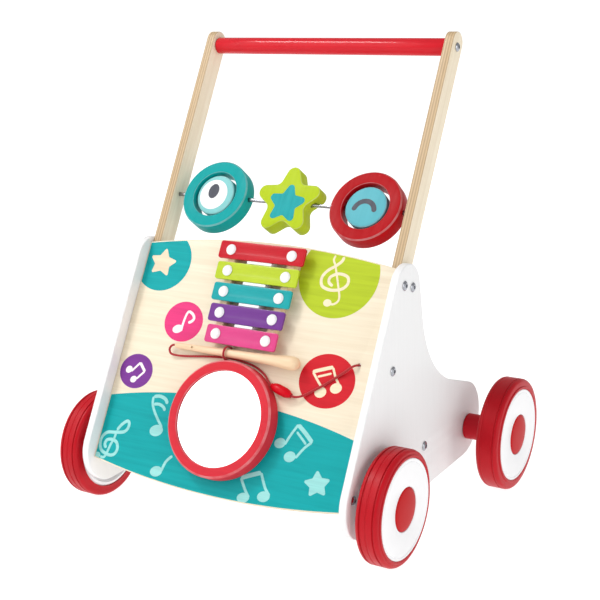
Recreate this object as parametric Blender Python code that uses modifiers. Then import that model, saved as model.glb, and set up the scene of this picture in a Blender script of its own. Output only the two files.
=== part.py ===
"""Baby push walker: a leaning play panel between two side panels on four rubber-tyred wheels.

World axes: X runs across the walker, the child pushes it towards -Y, Z is up, the floor is Z = 0.
Panel axes: u runs across, v runs up the lean from the floor, w stands out of the printed face.
Sizes are in millimetres, and MM turns them into Blender's metres.
"""
from math import asin, atan2, cos, pi, radians, sin, tan

import bmesh
import bpy
from mathutils import Matrix, Vector

MM = 0.001
GAP = 0.3                       # clearance between pieces that touch

# Stance
LEAN = radians(30)              # lean of the panel and the uprights from the vertical
FRONT_AXLE_Y = -109.16          # puts the middle of the walker's box over the origin
WHEELBASE = 217.0
PANEL_FOOT = (-81.1, 4.0)       # where v and w are 0: from the front axle, and above the floor

# Wheels
FRONT_WHEEL_R = 57.0
REAR_WHEEL_R = 60.0
WHEEL_W = 26.0
FRONT_WHEEL_X = 165.4           # inner face of a front wheel
REAR_WHEEL_X = 191.3
DISC_R = 49.0
CORE_R = 46.0
CAP_R = 21.6
AXLE_R = 3.0
SPACER_R = 14.0

# Side panels
SIDE_X = 150.0                  # inner face
SIDE_T = 8.0
SIDE_EDGE_W = 13.3              # front edge of a side panel stands this far out of the printed face
SIDE_BOTTOM = 29.0
SIDE_TOP = 274.0
FRONT_LOBE_R = 36.0
TOP_LOBE_R = 26.3
REAR_LOBE = (208.0, 70.5)       # centre, from the front axle and above the floor
REAR_LOBE_R = 41.5
REAR_CURVE_R = 110.0
REAR_RISE = radians(20)         # slope of the edge that leaves the rear lobe
REAR_LEAN = radians(9)          # slope of the edge under the top lobe, from the vertical

# Play panel
PANEL_T = 3.0
PANEL_HALF = 149.7
PANEL_V = (68.0, 306.0)         # corners
PANEL_BOW = 12.6                # how far the top and bottom edges bow out

# Uprights and what spans them
UPRIGHT_T = 10.0
UPRIGHT_D = 23.0
UPRIGHT_V = (190.0, 559.0)
UPRIGHT_W = -PANEL_T - GAP      # front edge
UPRIGHT_MID = UPRIGHT_W - UPRIGHT_D / 2
SPAN = SIDE_X - GAP - UPRIGHT_T - GAP
BAR_V = 543.4
BAR_R = 8.8
ROD_V = 366.8
ROD_R = 2.0
BRACE = (108.7, 75.6)           # dowel between the side panels, placed as the rear lobe is
BRACE_R = 9.0
BATTENS = {"upper_batten": (293.0, 30.0, SPAN), "lower_batten": (83.0, 22.0, PANEL_HALF)}
BATTEN_T = 14.0

# Spinning toys on the rod
TOY_BORE_R = 2.6
RING_R, RING_HOLE_R, RING_T = 39.2, 26.0, 18.0
RING_X = {"teal_ring": -88.0, "red_ring": 94.0}
FACE_R, FACE_T = 22.6, 14.0
FACE_OF = {"eye_disc": "teal_ring", "wink_disc": "red_ring"}
STAR_X, STAR_POINT_R, STAR_NOTCH_R, STAR_T = 3.0, 52.5, 22.0, 17.0
STAR_TURN = -3.0                # degrees clockwise in its own face
TOY_TILT = {"teal_ring": 38.0, "red_ring": 40.0, "star": 35.0, "eye_disc": 34.0, "wink_disc": 38.0}

# Xylophone
BAR_COLOURS = ("red", "lime", "teal", "purple", "pink")
XYLO_TOP_V, XYLO_PITCH = 304.0, 22.2
XYLO_BAR_W, XYLO_BAR_T, XYLO_FACE_W = 18.7, 3.2, 12.0
XYLO_HALF = (51.0, 42.2)        # half lengths of the first and last bar
PIN_U = (36.4, 29.9)            # pins from the middle on the first and last bar
PIN_CAP_R, PIN_CAP_H, PIN_R = 5.7, 3.6, 1.8
RAIL_W = 9.0
XYLO_BASE_TOP_W = 7.5

# Mallet, its loop and its cord
MALLET_U = (-79.0, 73.0)
MALLET_V = 198.0
MALLET_W = (5.5, 10.5)          # height of the stick's axis at its thin and thick ends
LOOP_U, LOOP_R, LOOP_WIRE_R = -13.5, 6.6, 1.2
CORD_R = 1.2
BEAD_L, BEAD_R = 25.0, 5.0
CORD_ROUTE = (                  # (u, v, w), from the hole in the panel to the mallet's thin end
    (131.2, 208.1, -5.0), (131.2, 208.1, -1.4), (130.2, 207.3, 2.3), (126.8, 204.8, 4.5),
    (120.4, 199.8, 3.0), (111.0, 192.6, 1.5), (99.0, 182.9, 1.4), (90.0, 176.5, 1.5),
    (82.0, 170.6, 2.4), (75.6, 167.2, 4.6), (69.6, 167.2, 5.5), (57.4, 170.6, 5.5), (45.2, 174.0, 5.5),
    (39.5, 177.6, 4.2), (31.5, 184.2, 2.0), (19.5, 189.8, 1.4), (6.0, 192.6, 1.4),
    (-13.5, 194.4, 1.5), (-40.0, 192.3, 1.6), (-62.0, 189.4, 1.8), (-73.0, 188.2, 2.6),
    (-80.9, 188.2, 3.6), (-84.4, 189.5, 4.2), (-86.0, 193.0, 4.8), (-84.6, 196.4, 5.3),
    (-81.5, 198.0, 5.5), (-79.4, 198.0, 5.5),
)

# Mirror
MIRROR_V = 131.0
MIRROR_FRAME_R, MIRROR_FRAME_H = 59.4, 16.4
MIRROR_SIGHT_R = 48.6           # what the frame's lip leaves open
GLASS_R, GLASS_T, GLASS_W = 50.5, 3.0, 14.3

COLOURS = {                     # base colour, roughness, metallic
    "white_paint": ((0.86, 0.86, 0.84), 0.35, 0.0),
    "birch": ((0.80, 0.62, 0.42), 0.55, 0.0),
    "beech": ((0.72, 0.50, 0.30), 0.5, 0.0),
    "red_gloss": ((0.62, 0.01, 0.02), 0.25, 0.0),
    "red_rubber": ((0.55, 0.02, 0.03), 0.5, 0.0),
    "coral_paint": ((0.75, 0.06, 0.08), 0.35, 0.0),
    "teal_paint": ((0.0, 0.42, 0.42), 0.35, 0.0),
    "lime_paint": ((0.52, 0.66, 0.05), 0.35, 0.0),
    "purple_paint": ((0.20, 0.07, 0.35), 0.35, 0.0),
    "pink_paint": ((0.78, 0.08, 0.30), 0.35, 0.0),
    "pale_blue_paint": ((0.22, 0.60, 0.66), 0.35, 0.0),
    "white_plastic": ((0.85, 0.85, 0.86), 0.3, 0.0),
    "steel": ((0.6, 0.6, 0.62), 0.25, 1.0),
    "mirror": ((0.9, 0.9, 0.92), 0.05, 1.0),
    "red_cord": ((0.45, 0.01, 0.02), 0.8, 0.0),
}

PANEL = (Matrix.Translation(Vector((0, FRONT_AXLE_Y + PANEL_FOOT[0], PANEL_FOOT[1])) * MM)
         @ Matrix.Rotation(pi / 2 - LEAN, 4, "X"))


# ---- Placing -------------------------------------------------------------------------------------

def on_panel(u, v, w=0.0):
    """Matrix of a place in panel axes, with its Z out of the printed face."""
    return PANEL @ Matrix.Translation(Vector((u, v, w)) * MM)


def across(x, from_axle, height, side=1):
    """Matrix of a place on a side, with its Z pointing outwards along +X or -X."""
    place = Matrix.Translation(Vector((x * side, FRONT_AXLE_Y + from_axle, height)) * MM)
    return place @ Matrix.Rotation(side * pi / 2, 4, "Y")


def across_at(v, w, x=0.0, side=1):
    """The same as across, for a point given in panel axes."""
    behind, height = PANEL_FOOT
    return across(x, behind + v * sin(LEAN) - w * cos(LEAN), height + v * cos(LEAN) + w * sin(LEAN), side)


# ---- Objects -------------------------------------------------------------------------------------

def clear_scene():
    for thing in list(bpy.data.objects):
        bpy.data.objects.remove(thing, do_unlink=True)


def collection(name):
    made = bpy.data.collections.new(name)
    bpy.context.scene.collection.children.link(made)
    return made


def material(name):
    made = bpy.data.materials.get(name)
    if made is None:
        colour, roughness, metallic = COLOURS[name]
        made = bpy.data.materials.new(name)
        made.use_nodes = True
        shader = made.node_tree.nodes["Principled BSDF"]
        shader.inputs["Base Color"].default_value = (*colour, 1.0)
        shader.inputs["Roughness"].default_value = roughness
        shader.inputs["Metallic"].default_value = metallic
    return made


def add_object(name, data, matrix, finish):
    made = bpy.data.objects.new(name, data)
    made.matrix_world = matrix
    if finish is None:
        CUTTERS.objects.link(made)
        made.hide_render = True
        made.display_type = "WIRE"
    else:
        PARTS.objects.link(made)
        data.materials.append(material(finish))
    return made


def cut(body, *cutters):
    for cutter in cutters:
        boolean = body.modifiers.new(cutter.name, "BOOLEAN")
        boolean.operation = "DIFFERENCE"
        boolean.object = cutter
    return body


def as_mesh(curve):
    """Replace a curve object with a closed mesh object of the same name and place."""
    name, matrix = curve.name, curve.matrix_world.copy()
    depsgraph = bpy.context.evaluated_depsgraph_get()
    mesh = bpy.data.meshes.new_from_object(curve.evaluated_get(depsgraph))
    bpy.data.objects.remove(curve, do_unlink=True)
    bm = bmesh.new()
    bm.from_mesh(mesh)
    bmesh.ops.remove_doubles(bm, verts=bm.verts, dist=1e-6)
    bm.to_mesh(mesh)
    bm.free()
    made = bpy.data.objects.new(name, mesh)
    made.matrix_world = matrix
    PARTS.objects.link(made)
    return made


def plate(name, outline, thickness, edge, matrix, finish):
    """Flat piece: its outline in local X and Y, centred on local Z, with rounded edges."""
    curve = bpy.data.curves.new(name, "CURVE")
    curve.dimensions = "2D"
    curve.fill_mode = "BOTH"
    curve.extrude = (thickness / 2 - edge) * MM
    curve.bevel_depth = edge * MM
    curve.bevel_resolution = 0
    curve.offset = -edge * MM
    spline = curve.splines.new("POLY")
    spline.points.add(len(outline) - 1)
    for point, (x, y) in zip(spline.points, outline):
        point.co = (x * MM, y * MM, 0.0, 1.0)
    spline.use_cyclic_u = True
    return as_mesh(add_object(name, curve, matrix, finish))


def turned(name, profile, matrix, finish, steps=28, ring=False):
    """Piece turned about local Z: profile (radius, height) down its outer side, top to bottom."""
    mesh = bpy.data.meshes.new(name)
    points = [(radius * MM, 0.0, height * MM) for radius, height in profile]
    edges = [(i, i + 1) for i in range(len(points) - 1)]
    if ring:
        edges.append((len(points) - 1, 0))
    mesh.from_pydata(points, edges, [])
    made = add_object(name, mesh, matrix, finish)
    screw = made.modifiers.new("Turn", "SCREW")
    screw.steps = steps
    screw.render_steps = steps
    screw.use_merge_vertices = True
    screw.merge_threshold = 1e-5
    screw.use_smooth_shade = True
    return made


def tube(name, points, radius, matrix, finish):
    curve = bpy.data.curves.new(name, "CURVE")
    curve.dimensions = "3D"
    curve.bevel_depth = radius * MM
    curve.bevel_resolution = 2
    curve.use_fill_caps = True
    spline = curve.splines.new("POLY")
    spline.points.add(len(points) - 1)
    for point, place in zip(spline.points, points):
        point.co = (*(Vector(place) * MM), 1.0)
    return add_object(name, curve, matrix, finish)


def box(name, size, matrix, finish, edge=0.8):
    bm = bmesh.new()
    bmesh.ops.create_cube(bm, size=1.0, matrix=Matrix.Diagonal(Vector(size) * MM).to_4x4())
    mesh = bpy.data.meshes.new(name)
    bm.to_mesh(mesh)
    bm.free()
    made = add_object(name, mesh, matrix, finish)
    rounding = made.modifiers.new("Edges", "BEVEL")
    rounding.width = edge * MM
    rounding.segments = 1
    return made


def drills(name, radius, depth, matrices):
    """One cutter of equal holes: each runs along its matrix's Z, half its depth either way."""
    bm = bmesh.new()
    for matrix in matrices:
        bmesh.ops.create_cone(bm, cap_ends=True, segments=12, radius1=radius * MM, radius2=radius * MM,
                              depth=depth * MM, matrix=matrix)
    mesh = bpy.data.meshes.new(name)
    bm.to_mesh(mesh)
    bm.free()
    return add_object(name, mesh, Matrix.Identity(4), None)


# ---- Outlines ------------------------------------------------------------------------------------

def arc(centre, radius, start, end, count):
    angles = [start + (end - start) * i / count for i in range(count + 1)]
    return [(centre[0] + radius * cos(a), centre[1] + radius * sin(a)) for a in angles]


def rounded(corners, radii, count=4):
    """Outline through corners, each rounded to its radius."""
    outline = []
    for i, corner in enumerate(corners):
        here = Vector(corner)
        back = (Vector(corners[i - 1]) - here).normalized()
        ahead = (Vector(corners[(i + 1) % len(corners)]) - here).normalized()
        half = asin(min(1.0, (back - ahead).length / 2))
        half_angle = pi / 2 - asin(min(1.0, (back + ahead).length / 2))
        half = max(half, 1e-6)
        centre = here + (back + ahead).normalized() * radii[i] / sin(pi / 2 - half_angle)
        start = here + back * radii[i] / tan(half) - centre
        end = here + ahead * radii[i] / tan(half) - centre
        first = atan2(start.y, start.x)
        sweep = (atan2(end.y, end.x) - first + pi) % (2 * pi) - pi
        outline += arc(centre, radii[i], first, first + sweep, count)
    return outline


def side_outline():
    """Side panel seen from outside, as (distance behind the front axle, height)."""
    def lobe_centre(height, radius):
        edge = SIDE_EDGE_W - PANEL_FOOT[0] * cos(LEAN) + PANEL_FOOT[1] * sin(LEAN)
        return ((height * sin(LEAN) - edge + radius) / cos(LEAN), height)

    front = lobe_centre(SIDE_BOTTOM + FRONT_LOBE_R, FRONT_LOBE_R)
    top = lobe_centre(SIDE_TOP - TOP_LOBE_R, TOP_LOBE_R)
    rise = Vector((sin(REAR_RISE), cos(REAR_RISE)))
    lean = Vector((cos(REAR_LEAN), sin(REAR_LEAN)))
    rise_far = rise.dot(Vector(REAR_LOBE)) + REAR_LOBE_R + REAR_CURVE_R
    lean_far = lean.dot(Vector(top)) + TOP_LOBE_R + REAR_CURVE_R
    cross = rise.x * lean.y - rise.y * lean.x
    curve = ((rise_far * lean.y - lean_far * rise.y) / cross, (rise.x * lean_far - lean.x * rise_far) / cross)
    facing_front = pi - LEAN
    outline = arc(front, FRONT_LOBE_R, facing_front, 1.5 * pi, 7)
    outline += arc(REAR_LOBE, REAR_LOBE_R, -pi / 2, pi / 2 - REAR_RISE, 10)
    outline += arc(curve, REAR_CURVE_R, 1.5 * pi - REAR_RISE, pi + REAR_LEAN, 7)
    outline += arc(top, TOP_LOBE_R, REAR_LEAN, facing_front, 8)
    return outline


def bowed_outline():
    """Play panel: straight sides, top and bottom edges bowed out."""
    radius = (PANEL_HALF ** 2 + PANEL_BOW ** 2) / (2 * PANEL_BOW)
    spread = asin(PANEL_HALF / radius)
    low, high = PANEL_V
    top = arc((0, high + PANEL_BOW - radius), radius, pi / 2 - spread, pi / 2 + spread, 14)
    bottom = arc((0, low - PANEL_BOW + radius), radius, 1.5 * pi - spread, 1.5 * pi + spread, 14)
    return top + bottom


def star_outline():
    corners = []
    for i in range(10):
        radius = STAR_NOTCH_R if i % 2 else STAR_POINT_R
        angle = pi / 2 + i * pi / 5 - radians(STAR_TURN)
        corners.append((radius * cos(angle), radius * sin(angle)))
    return rounded(corners, [8.0, 7.0] * 5, 3)


def smooth_route(points, spacing):
    """Catmull-Rom curve through the route's points, with a point about every spacing."""
    route = [Vector(p) for p in points]
    ends = [2 * route[0] - route[1]] + route + [2 * route[-1] - route[-2]]
    smooth = [route[0]]
    for i in range(1, len(ends) - 2):
        a, b, c, d = ends[i - 1:i + 3]
        count = max(1, round((c - b).length / spacing))
        for step in range(1, count + 1):
            t = step / count
            smooth.append(0.5 * (2 * b + (c - a) * t + (2 * a - 5 * b + 4 * c - d) * t ** 2
                                 + (3 * b - a - 3 * c + d) * t ** 3))
    return smooth


# ---- Sub-parts -----------------------------------------------------------------------------------

def make_wheels():
    outer = WHEEL_W
    disc = [(CAP_R + GAP, outer), (DISC_R, outer), (DISC_R, outer - 2.5), (CORE_R, outer - 2.5),
            (CORE_R, 0.0), (AXLE_R + 0.4, 0.0), (AXLE_R + 0.4, outer - 4.5), (CAP_R + GAP, outer - 4.5)]
    cap = [(0.0, outer + 1.6), (11.0, outer + 1.2), (19.0, outer), (CAP_R, outer - 1.2),
           (CAP_R, outer - 2.1), (0.0, outer - 2.1)]
    for place, x, behind, radius in (("front", FRONT_WHEEL_X, 0.0, FRONT_WHEEL_R),
                                     ("rear", REAR_WHEEL_X, WHEELBASE, REAR_WHEEL_R)):
        tyre = [(radius - 4.0, outer), (radius - 1.0, outer - 1.6), (radius, outer - 5.0), (radius, 5.0),
                (radius - 1.0, 1.6), (radius - 4.0, 0.0), (CORE_R + GAP, 0.0), (CORE_R + GAP, outer - 2.8),
                (DISC_R + GAP, outer - 2.8), (DISC_R + GAP, outer)]
        for hand, side in (("left", -1), ("right", 1)):
            matrix = across(x, behind, radius, side)
            turned(f"tyre_{place}_{hand}", tyre, matrix, "red_rubber", ring=True)
            turned(f"wheel_disc_{place}_{hand}", disc, matrix, "white_plastic", ring=True)
            turned(f"hub_cap_{place}_{hand}", cap, matrix, "red_gloss", steps=24)


def axle_profile(wheel_x, collar_x=None):
    """Half of an axle, from its head down: a push-on head under the hub cap and, in front, a collar."""
    head = wheel_x + WHEEL_W - 2.6
    half = [(0.0, head), (7.0, head), (7.0, head - 1.5), (AXLE_R, head - 1.5)]
    if collar_x:
        half += [(AXLE_R, wheel_x - 0.4), (8.0, wheel_x - 0.4), (8.0, collar_x), (AXLE_R, collar_x)]
    return half + [(radius, -height) for radius, height in reversed(half)]


def make_axles():
    outside = SIDE_X + SIDE_T
    turned("front_axle", axle_profile(FRONT_WHEEL_X, outside + 0.5), across(0, 0, FRONT_WHEEL_R), "steel", 16)
    turned("rear_axle", axle_profile(REAR_WHEEL_X), across(0, WHEELBASE, REAR_WHEEL_R), "steel", 16)
    length = REAR_WHEEL_X - 0.4 - outside - GAP
    sleeve = [(SPACER_R, length), (SPACER_R, 0.0), (AXLE_R + GAP, 0.0), (AXLE_R + GAP, length)]
    for hand, side in (("left", -1), ("right", 1)):
        matrix = across(outside + GAP, WHEELBASE, REAR_WHEEL_R, side)
        turned(f"rear_spacer_{hand}", sleeve, matrix, "red_gloss", 24, ring=True)


def make_side_panels():
    outline = side_outline()
    middle = SIDE_X + SIDE_T / 2
    for hand, side in (("left", -1), ("right", 1)):
        place = Matrix.Translation(Vector((middle * side, FRONT_AXLE_Y, 0)) * MM)
        upright = place @ Matrix.Rotation(pi / 2, 4, "Z") @ Matrix.Rotation(pi / 2, 4, "X")
        panel = plate(f"side_panel_{hand}", outline, SIDE_T, 1.5, upright, "white_paint")
        axles = [across(middle, 0, FRONT_WHEEL_R, side), across(middle, WHEELBASE, REAR_WHEEL_R, side)]
        cut(panel, drills(f"axle_holes_{hand}", AXLE_R + GAP, 20, axles),
            drills(f"brace_hole_{hand}", 2.8, 20, [across(middle, *BRACE, side)]))


def make_play_panel():
    panel = plate("play_panel", bowed_outline(), PANEL_T, 0.4, on_panel(0, 0, -PANEL_T / 2), "birch")
    u, v, _ = CORD_ROUTE[0]
    cut(panel, drills("cord_hole", CORD_R + 0.6, 20, [on_panel(u, v)]))
    for name, (v, width, half) in BATTENS.items():
        place = on_panel(0, v, UPRIGHT_W - BATTEN_T / 2)
        box(name, (2 * half, width, BATTEN_T), place, "birch")


def make_brace():
    half = SIDE_X - GAP
    profile = [(0.0, half), (BRACE_R - 1.0, half), (BRACE_R, half - 1.0)]
    profile += [(radius, -height) for radius, height in reversed(profile)]
    brace = turned("brace_dowel", profile, across(0, *BRACE), "beech", 20)
    cut(brace, drills("brace_pilots", 2.8, 40, [across(half, *BRACE, side) for side in (-1, 1)]))
    for hand, side in (("left", -1), ("right", 1)):
        bolt = [(0.0, 2.0), (4.0, 1.8), (5.0, GAP), (2.5, GAP), (2.5, -24.0), (0.0, -24.0)]
        turned(f"brace_bolt_{hand}", bolt, across(SIDE_X + SIDE_T, *BRACE, side), "steel", 12)


def make_uprights():
    low, high = UPRIGHT_V
    half = UPRIGHT_D / 2
    corners = [(-half, low), (half, low), (half, high), (-half, high)]
    outline = rounded(corners, [3.0, 3.0, 11.2, 11.2])
    for hand, side in (("left", -1), ("right", 1)):
        middle = side * (SPAN + GAP + UPRIGHT_T / 2)
        place = on_panel(middle, 0, UPRIGHT_MID) @ Matrix.Rotation(pi / 2, 4, "Y")
        upright = plate(f"upright_{hand}", outline, UPRIGHT_T, 0.8, place, "birch")
        cut(upright, drills(f"rod_socket_{hand}", ROD_R + GAP, 14, [across_at(ROD_V, UPRIGHT_MID, SPAN, side)]),
            drills(f"screw_hole_{hand}", 2.3, 60, [across_at(BAR_V, UPRIGHT_MID, SPAN, side)]))


def make_handle():
    profile = [(0.0, SPAN), (BAR_R - 0.8, SPAN), (BAR_R, SPAN - 0.8)]
    profile += [(radius, -height) for radius, height in reversed(profile)]
    bar = turned("handle_bar", profile, across_at(BAR_V, UPRIGHT_MID), "red_gloss", 24)
    places = [across_at(BAR_V, UPRIGHT_MID, SPAN, side) for side in (-1, 1)]
    cut(bar, drills("handle_pilots", 2.3, 40, places))
    face = SPAN + GAP + UPRIGHT_T
    for hand, side in (("left", -1), ("right", 1)):
        screw = [(0.0, 2.3), (3.6, 1.8), (4.5, GAP), (2.0, GAP), (2.0, -25.0), (0.0, -25.0)]
        turned(f"handle_screw_{hand}", screw, across_at(BAR_V, UPRIGHT_MID, face, side), "steel", 12)


def toy_place(name, x):
    """Matrix of a toy on the rod, with its Z out of the toy's face."""
    turn = Matrix.Rotation(pi / 2 - radians(TOY_TILT[name]), 4, "X")
    return Matrix.Translation(across_at(ROD_V, UPRIGHT_MID, x).translation) @ turn


def make_toys():
    reach = SPAN + 6.6
    turned("toy_rod", [(0.0, reach), (ROD_R, reach), (ROD_R, -reach), (0.0, -reach)],
           across_at(ROD_V, UPRIGHT_MID), "steel", 12)
    bore = drills("toy_bore", TOY_BORE_R, 2 * SPAN, [across_at(ROD_V, UPRIGHT_MID)])
    half, edge = RING_T / 2, 2.2
    ring = [(RING_R - edge, half), (RING_R, half - edge), (RING_R, edge - half), (RING_R - edge, -half),
            (RING_HOLE_R + 1.0, -half), (RING_HOLE_R, 1.0 - half), (RING_HOLE_R, half - 1.0),
            (RING_HOLE_R + 1.0, half)]
    for name, x in RING_X.items():
        cut(turned(name, ring, toy_place(name, x), name.replace("ring", "paint").replace("red_paint", "red_gloss"),
                   ring=True), bore)
    half = FACE_T / 2
    face = [(0.0, half), (FACE_R - 1.4, half), (FACE_R, half - 1.4), (FACE_R, 1.4 - half),
            (FACE_R - 1.4, -half), (0.0, -half)]
    for name, holder in FACE_OF.items():
        finish = "teal_paint" if name == "eye_disc" else "pale_blue_paint"
        cut(turned(name, face, toy_place(name, RING_X[holder]), finish, 24), bore)
    cut(plate("star", star_outline(), STAR_T, 1.8, toy_place("star", STAR_X), "lime_paint"), bore)


def between(pair, row):
    """Value for a xylophone row, from the pair of values on the first and last row."""
    return pair[0] + (pair[1] - pair[0]) * row / (len(BAR_COLOURS) - 1)


def make_xylophone():
    rows = range(len(BAR_COLOURS))
    bar_back = XYLO_FACE_W - XYLO_BAR_T
    rail_top = bar_back - GAP
    pins = {side: [on_panel(side * between(PIN_U, row), XYLO_TOP_V - row * XYLO_PITCH, XYLO_FACE_W)
                   for row in rows] for side in (-1, 1)}
    holes = drills("pin_holes", PIN_R + 0.4, 2 * 8.8, pins[-1] + pins[1])
    for row in rows:
        colour = BAR_COLOURS[row]
        half, deep = between(XYLO_HALF, row), XYLO_BAR_W / 2
        corners = [(-half, -deep), (half, -deep), (half, deep), (-half, deep)]
        place = on_panel(0, XYLO_TOP_V - row * XYLO_PITCH, (XYLO_FACE_W + bar_back) / 2)
        finish = "coral_paint" if colour == "red" else colour + "_paint"
        bar = plate(f"xylophone_bar_{colour}", rounded(corners, [2.5] * 4, 3), XYLO_BAR_T, 0.6, place, finish)
        cut(bar, holes)
        for hand, side in (("left", -1), ("right", 1)):
            low, high = GAP, PIN_CAP_H
            pin = [(0.0, high), (3.4, high - 0.7), (5.2, high - 1.9), (PIN_CAP_R, low), (PIN_R, low),
                   (PIN_R, -8.2), (0.0, -8.2)]
            turned(f"pin_{colour}_{hand}", pin, pins[side][row], "white_plastic", 14)
    splay = atan2(PIN_U[0] - PIN_U[1], XYLO_PITCH * (len(BAR_COLOURS) - 1))
    middle_v = XYLO_TOP_V - XYLO_PITCH * (len(BAR_COLOURS) - 1) / 2
    for hand, side in (("left", -1), ("right", 1)):
        place = on_panel(side * sum(PIN_U) / 2, middle_v, (rail_top + GAP) / 2)
        place = place @ Matrix.Rotation(-side * splay, 4, "Z")
        cut(box(f"xylophone_rail_{hand}", (RAIL_W, 105, rail_top - GAP), place, "beech"), holes)
    low, high = middle_v - 50, middle_v + 50
    trapezium = [(-9.7, low), (9.7, low), (15.7, high), (-15.7, high)]
    plate("xylophone_base", rounded(trapezium, [1.5] * 4, 2), XYLO_BASE_TOP_W - GAP, 0.3,
          on_panel(0, 0, (XYLO_BASE_TOP_W + GAP) / 2), "white_plastic")


def make_mallet():
    thin, thick = (on_panel(u, MALLET_V, w).translation for u, w in zip(MALLET_U, MALLET_W))
    along = thick - thin
    length = along.length / MM
    profile = [(0.0, length), (4.0, length - 1.2), (6.3, length - 3.8), (7.0, length - 9.0),
               (6.6, length - 17.0), (5.2, length - 34.0), (4.4, length * 0.5), (3.4, length * 0.2),
               (2.8, 0.8), (2.2, 0.0), (0.0, 0.0)]
    matrix = Matrix.Translation(thin) @ along.to_track_quat("Z", "Y").to_matrix().to_4x4()
    turned("mallet", profile, matrix, "beech", 16)
    height = MALLET_W[0] + (MALLET_W[1] - MALLET_W[0]) * (LOOP_U - MALLET_U[0]) / (MALLET_U[1] - MALLET_U[0])
    legs = [(LOOP_U, MALLET_V + LOOP_R, LOOP_WIRE_R), (LOOP_U, MALLET_V - LOOP_R, LOOP_WIRE_R)]
    over = [(LOOP_U, v, w) for v, w in arc((MALLET_V, height), LOOP_R, 0.0, pi, 6)]
    tube("mallet_loop", [legs[0]] + over + [legs[1]], LOOP_WIRE_R, PANEL, "red_cord")


def make_cord():
    tube("mallet_cord", smooth_route(CORD_ROUTE, 5.5), CORD_R, PANEL, "red_cord")
    ends = [Vector(CORD_ROUTE[i]) * MM for i in (10, 12)]
    run = PANEL.to_3x3() @ (ends[0] - ends[1])
    place = Matrix.Translation(on_panel(*CORD_ROUTE[11]).translation) @ run.to_track_quat("Z", "Y").to_matrix().to_4x4()
    half, bore = BEAD_L / 2, CORD_R + 0.5
    bead = [(bore + 0.8, half), (BEAD_R * 0.72, half * 0.72), (BEAD_R, half * 0.25), (BEAD_R, -half * 0.25),
            (BEAD_R * 0.72, -half * 0.72), (bore + 0.8, -half), (bore, -half), (bore, half)]
    turned("cord_bead", bead, place, "red_gloss", 14, ring=True)


def make_mirror():
    radius, high = MIRROR_FRAME_R, MIRROR_FRAME_H
    sight, seat = MIRROR_SIGHT_R, GLASS_W + GAP
    ledge = GLASS_W - GLASS_T - GAP
    frame = [(0.0, ledge), (GLASS_R + GAP, ledge), (GLASS_R + GAP, seat), (sight, seat), (sight, high),
             (radius - 2.0, high), (radius, high - 2.0), (radius, GAP), (0.0, GAP)]
    turned("mirror_frame", frame, on_panel(0, MIRROR_V), "coral_paint", 36)
    glass = [(0.0, GLASS_W), (GLASS_R, GLASS_W), (GLASS_R, GLASS_W - GLASS_T), (0.0, GLASS_W - GLASS_T)]
    turned("mirror_glass", glass, on_panel(0, MIRROR_V), "mirror", 36)


clear_scene()
PARTS = collection("baby_push_walker")
CUTTERS = collection("cutters")
make_wheels()
make_axles()
make_side_panels()
make_play_panel()
make_brace()
make_uprights()
make_handle()
make_toys()
make_xylophone()
make_mallet()
make_cord()
make_mirror()
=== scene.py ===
"""Looks of the baby push walker: finer shapes, prints, cord, fixings, materials, light and camera.

Sizes are in millimetres, and MM turns them into metres. Panel axes are the CAD's: u runs across,
v runs up the lean from the floor, and w stands out of the printed face.
"""
from math import asin, atan2, cos, pi, radians, sin, sqrt, tan

import bmesh
import bpy
from mathutils import Matrix, Vector


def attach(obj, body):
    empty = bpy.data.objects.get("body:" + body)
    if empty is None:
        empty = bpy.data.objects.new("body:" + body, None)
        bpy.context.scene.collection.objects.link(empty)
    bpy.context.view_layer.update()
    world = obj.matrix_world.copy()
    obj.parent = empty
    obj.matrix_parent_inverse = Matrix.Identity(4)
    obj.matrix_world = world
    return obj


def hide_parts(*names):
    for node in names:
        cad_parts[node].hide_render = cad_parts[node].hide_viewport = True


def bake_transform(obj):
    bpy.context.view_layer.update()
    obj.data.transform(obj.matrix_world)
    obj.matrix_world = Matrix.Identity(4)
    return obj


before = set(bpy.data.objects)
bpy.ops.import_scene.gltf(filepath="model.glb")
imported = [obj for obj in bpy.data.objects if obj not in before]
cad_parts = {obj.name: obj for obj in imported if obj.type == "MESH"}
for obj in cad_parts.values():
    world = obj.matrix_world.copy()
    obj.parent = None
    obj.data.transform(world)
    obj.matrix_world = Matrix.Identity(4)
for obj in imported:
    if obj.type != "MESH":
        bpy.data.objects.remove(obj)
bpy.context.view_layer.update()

MM = 0.001
GAP = 0.3
SIDES = (("left", -1), ("right", 1))

# Stance, as in the CAD
LEAN = radians(30)
TILT = pi / 2 - LEAN
FRONT_AXLE_Y = -109.16
WHEELBASE = 217.0
PANEL_FOOT = (-81.1, 4.0)
SIDE_X, SIDE_T = 150.0, 8.0
PANEL_T, PANEL_HALF, PANEL_V, PANEL_BOW = 3.0, 149.7, (68.0, 306.0), 12.6
UPRIGHT_T, UPRIGHT_D, UPRIGHT_V = 10.0, 23.0, (190.0, 559.0)
UPRIGHT_MID = -PANEL_T - GAP - UPRIGHT_D / 2
SPAN = SIDE_X - GAP - UPRIGHT_T - GAP
BAR_V, BAR_R = 543.4, 8.8
ROD_V, ROD_R = 366.8, 2.0
BRACE, BRACE_R = (108.7, 75.6), 9.0


# ---- Placing ----

def shift(x, y, z):
    return Matrix.Translation(Vector((x, y, z)) * MM)


PANEL = shift(0, FRONT_AXLE_Y + PANEL_FOOT[0], PANEL_FOOT[1]) @ Matrix.Rotation(TILT, 4, "X")


def on_panel(u, v, w=0.0):
    return PANEL @ shift(u, v, w)


def facing(place, direction):
    """Matrix at a place in metres, with its Z along the direction."""
    return Matrix.Translation(place) @ direction.to_track_quat("Z", "Y").to_matrix().to_4x4()


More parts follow.
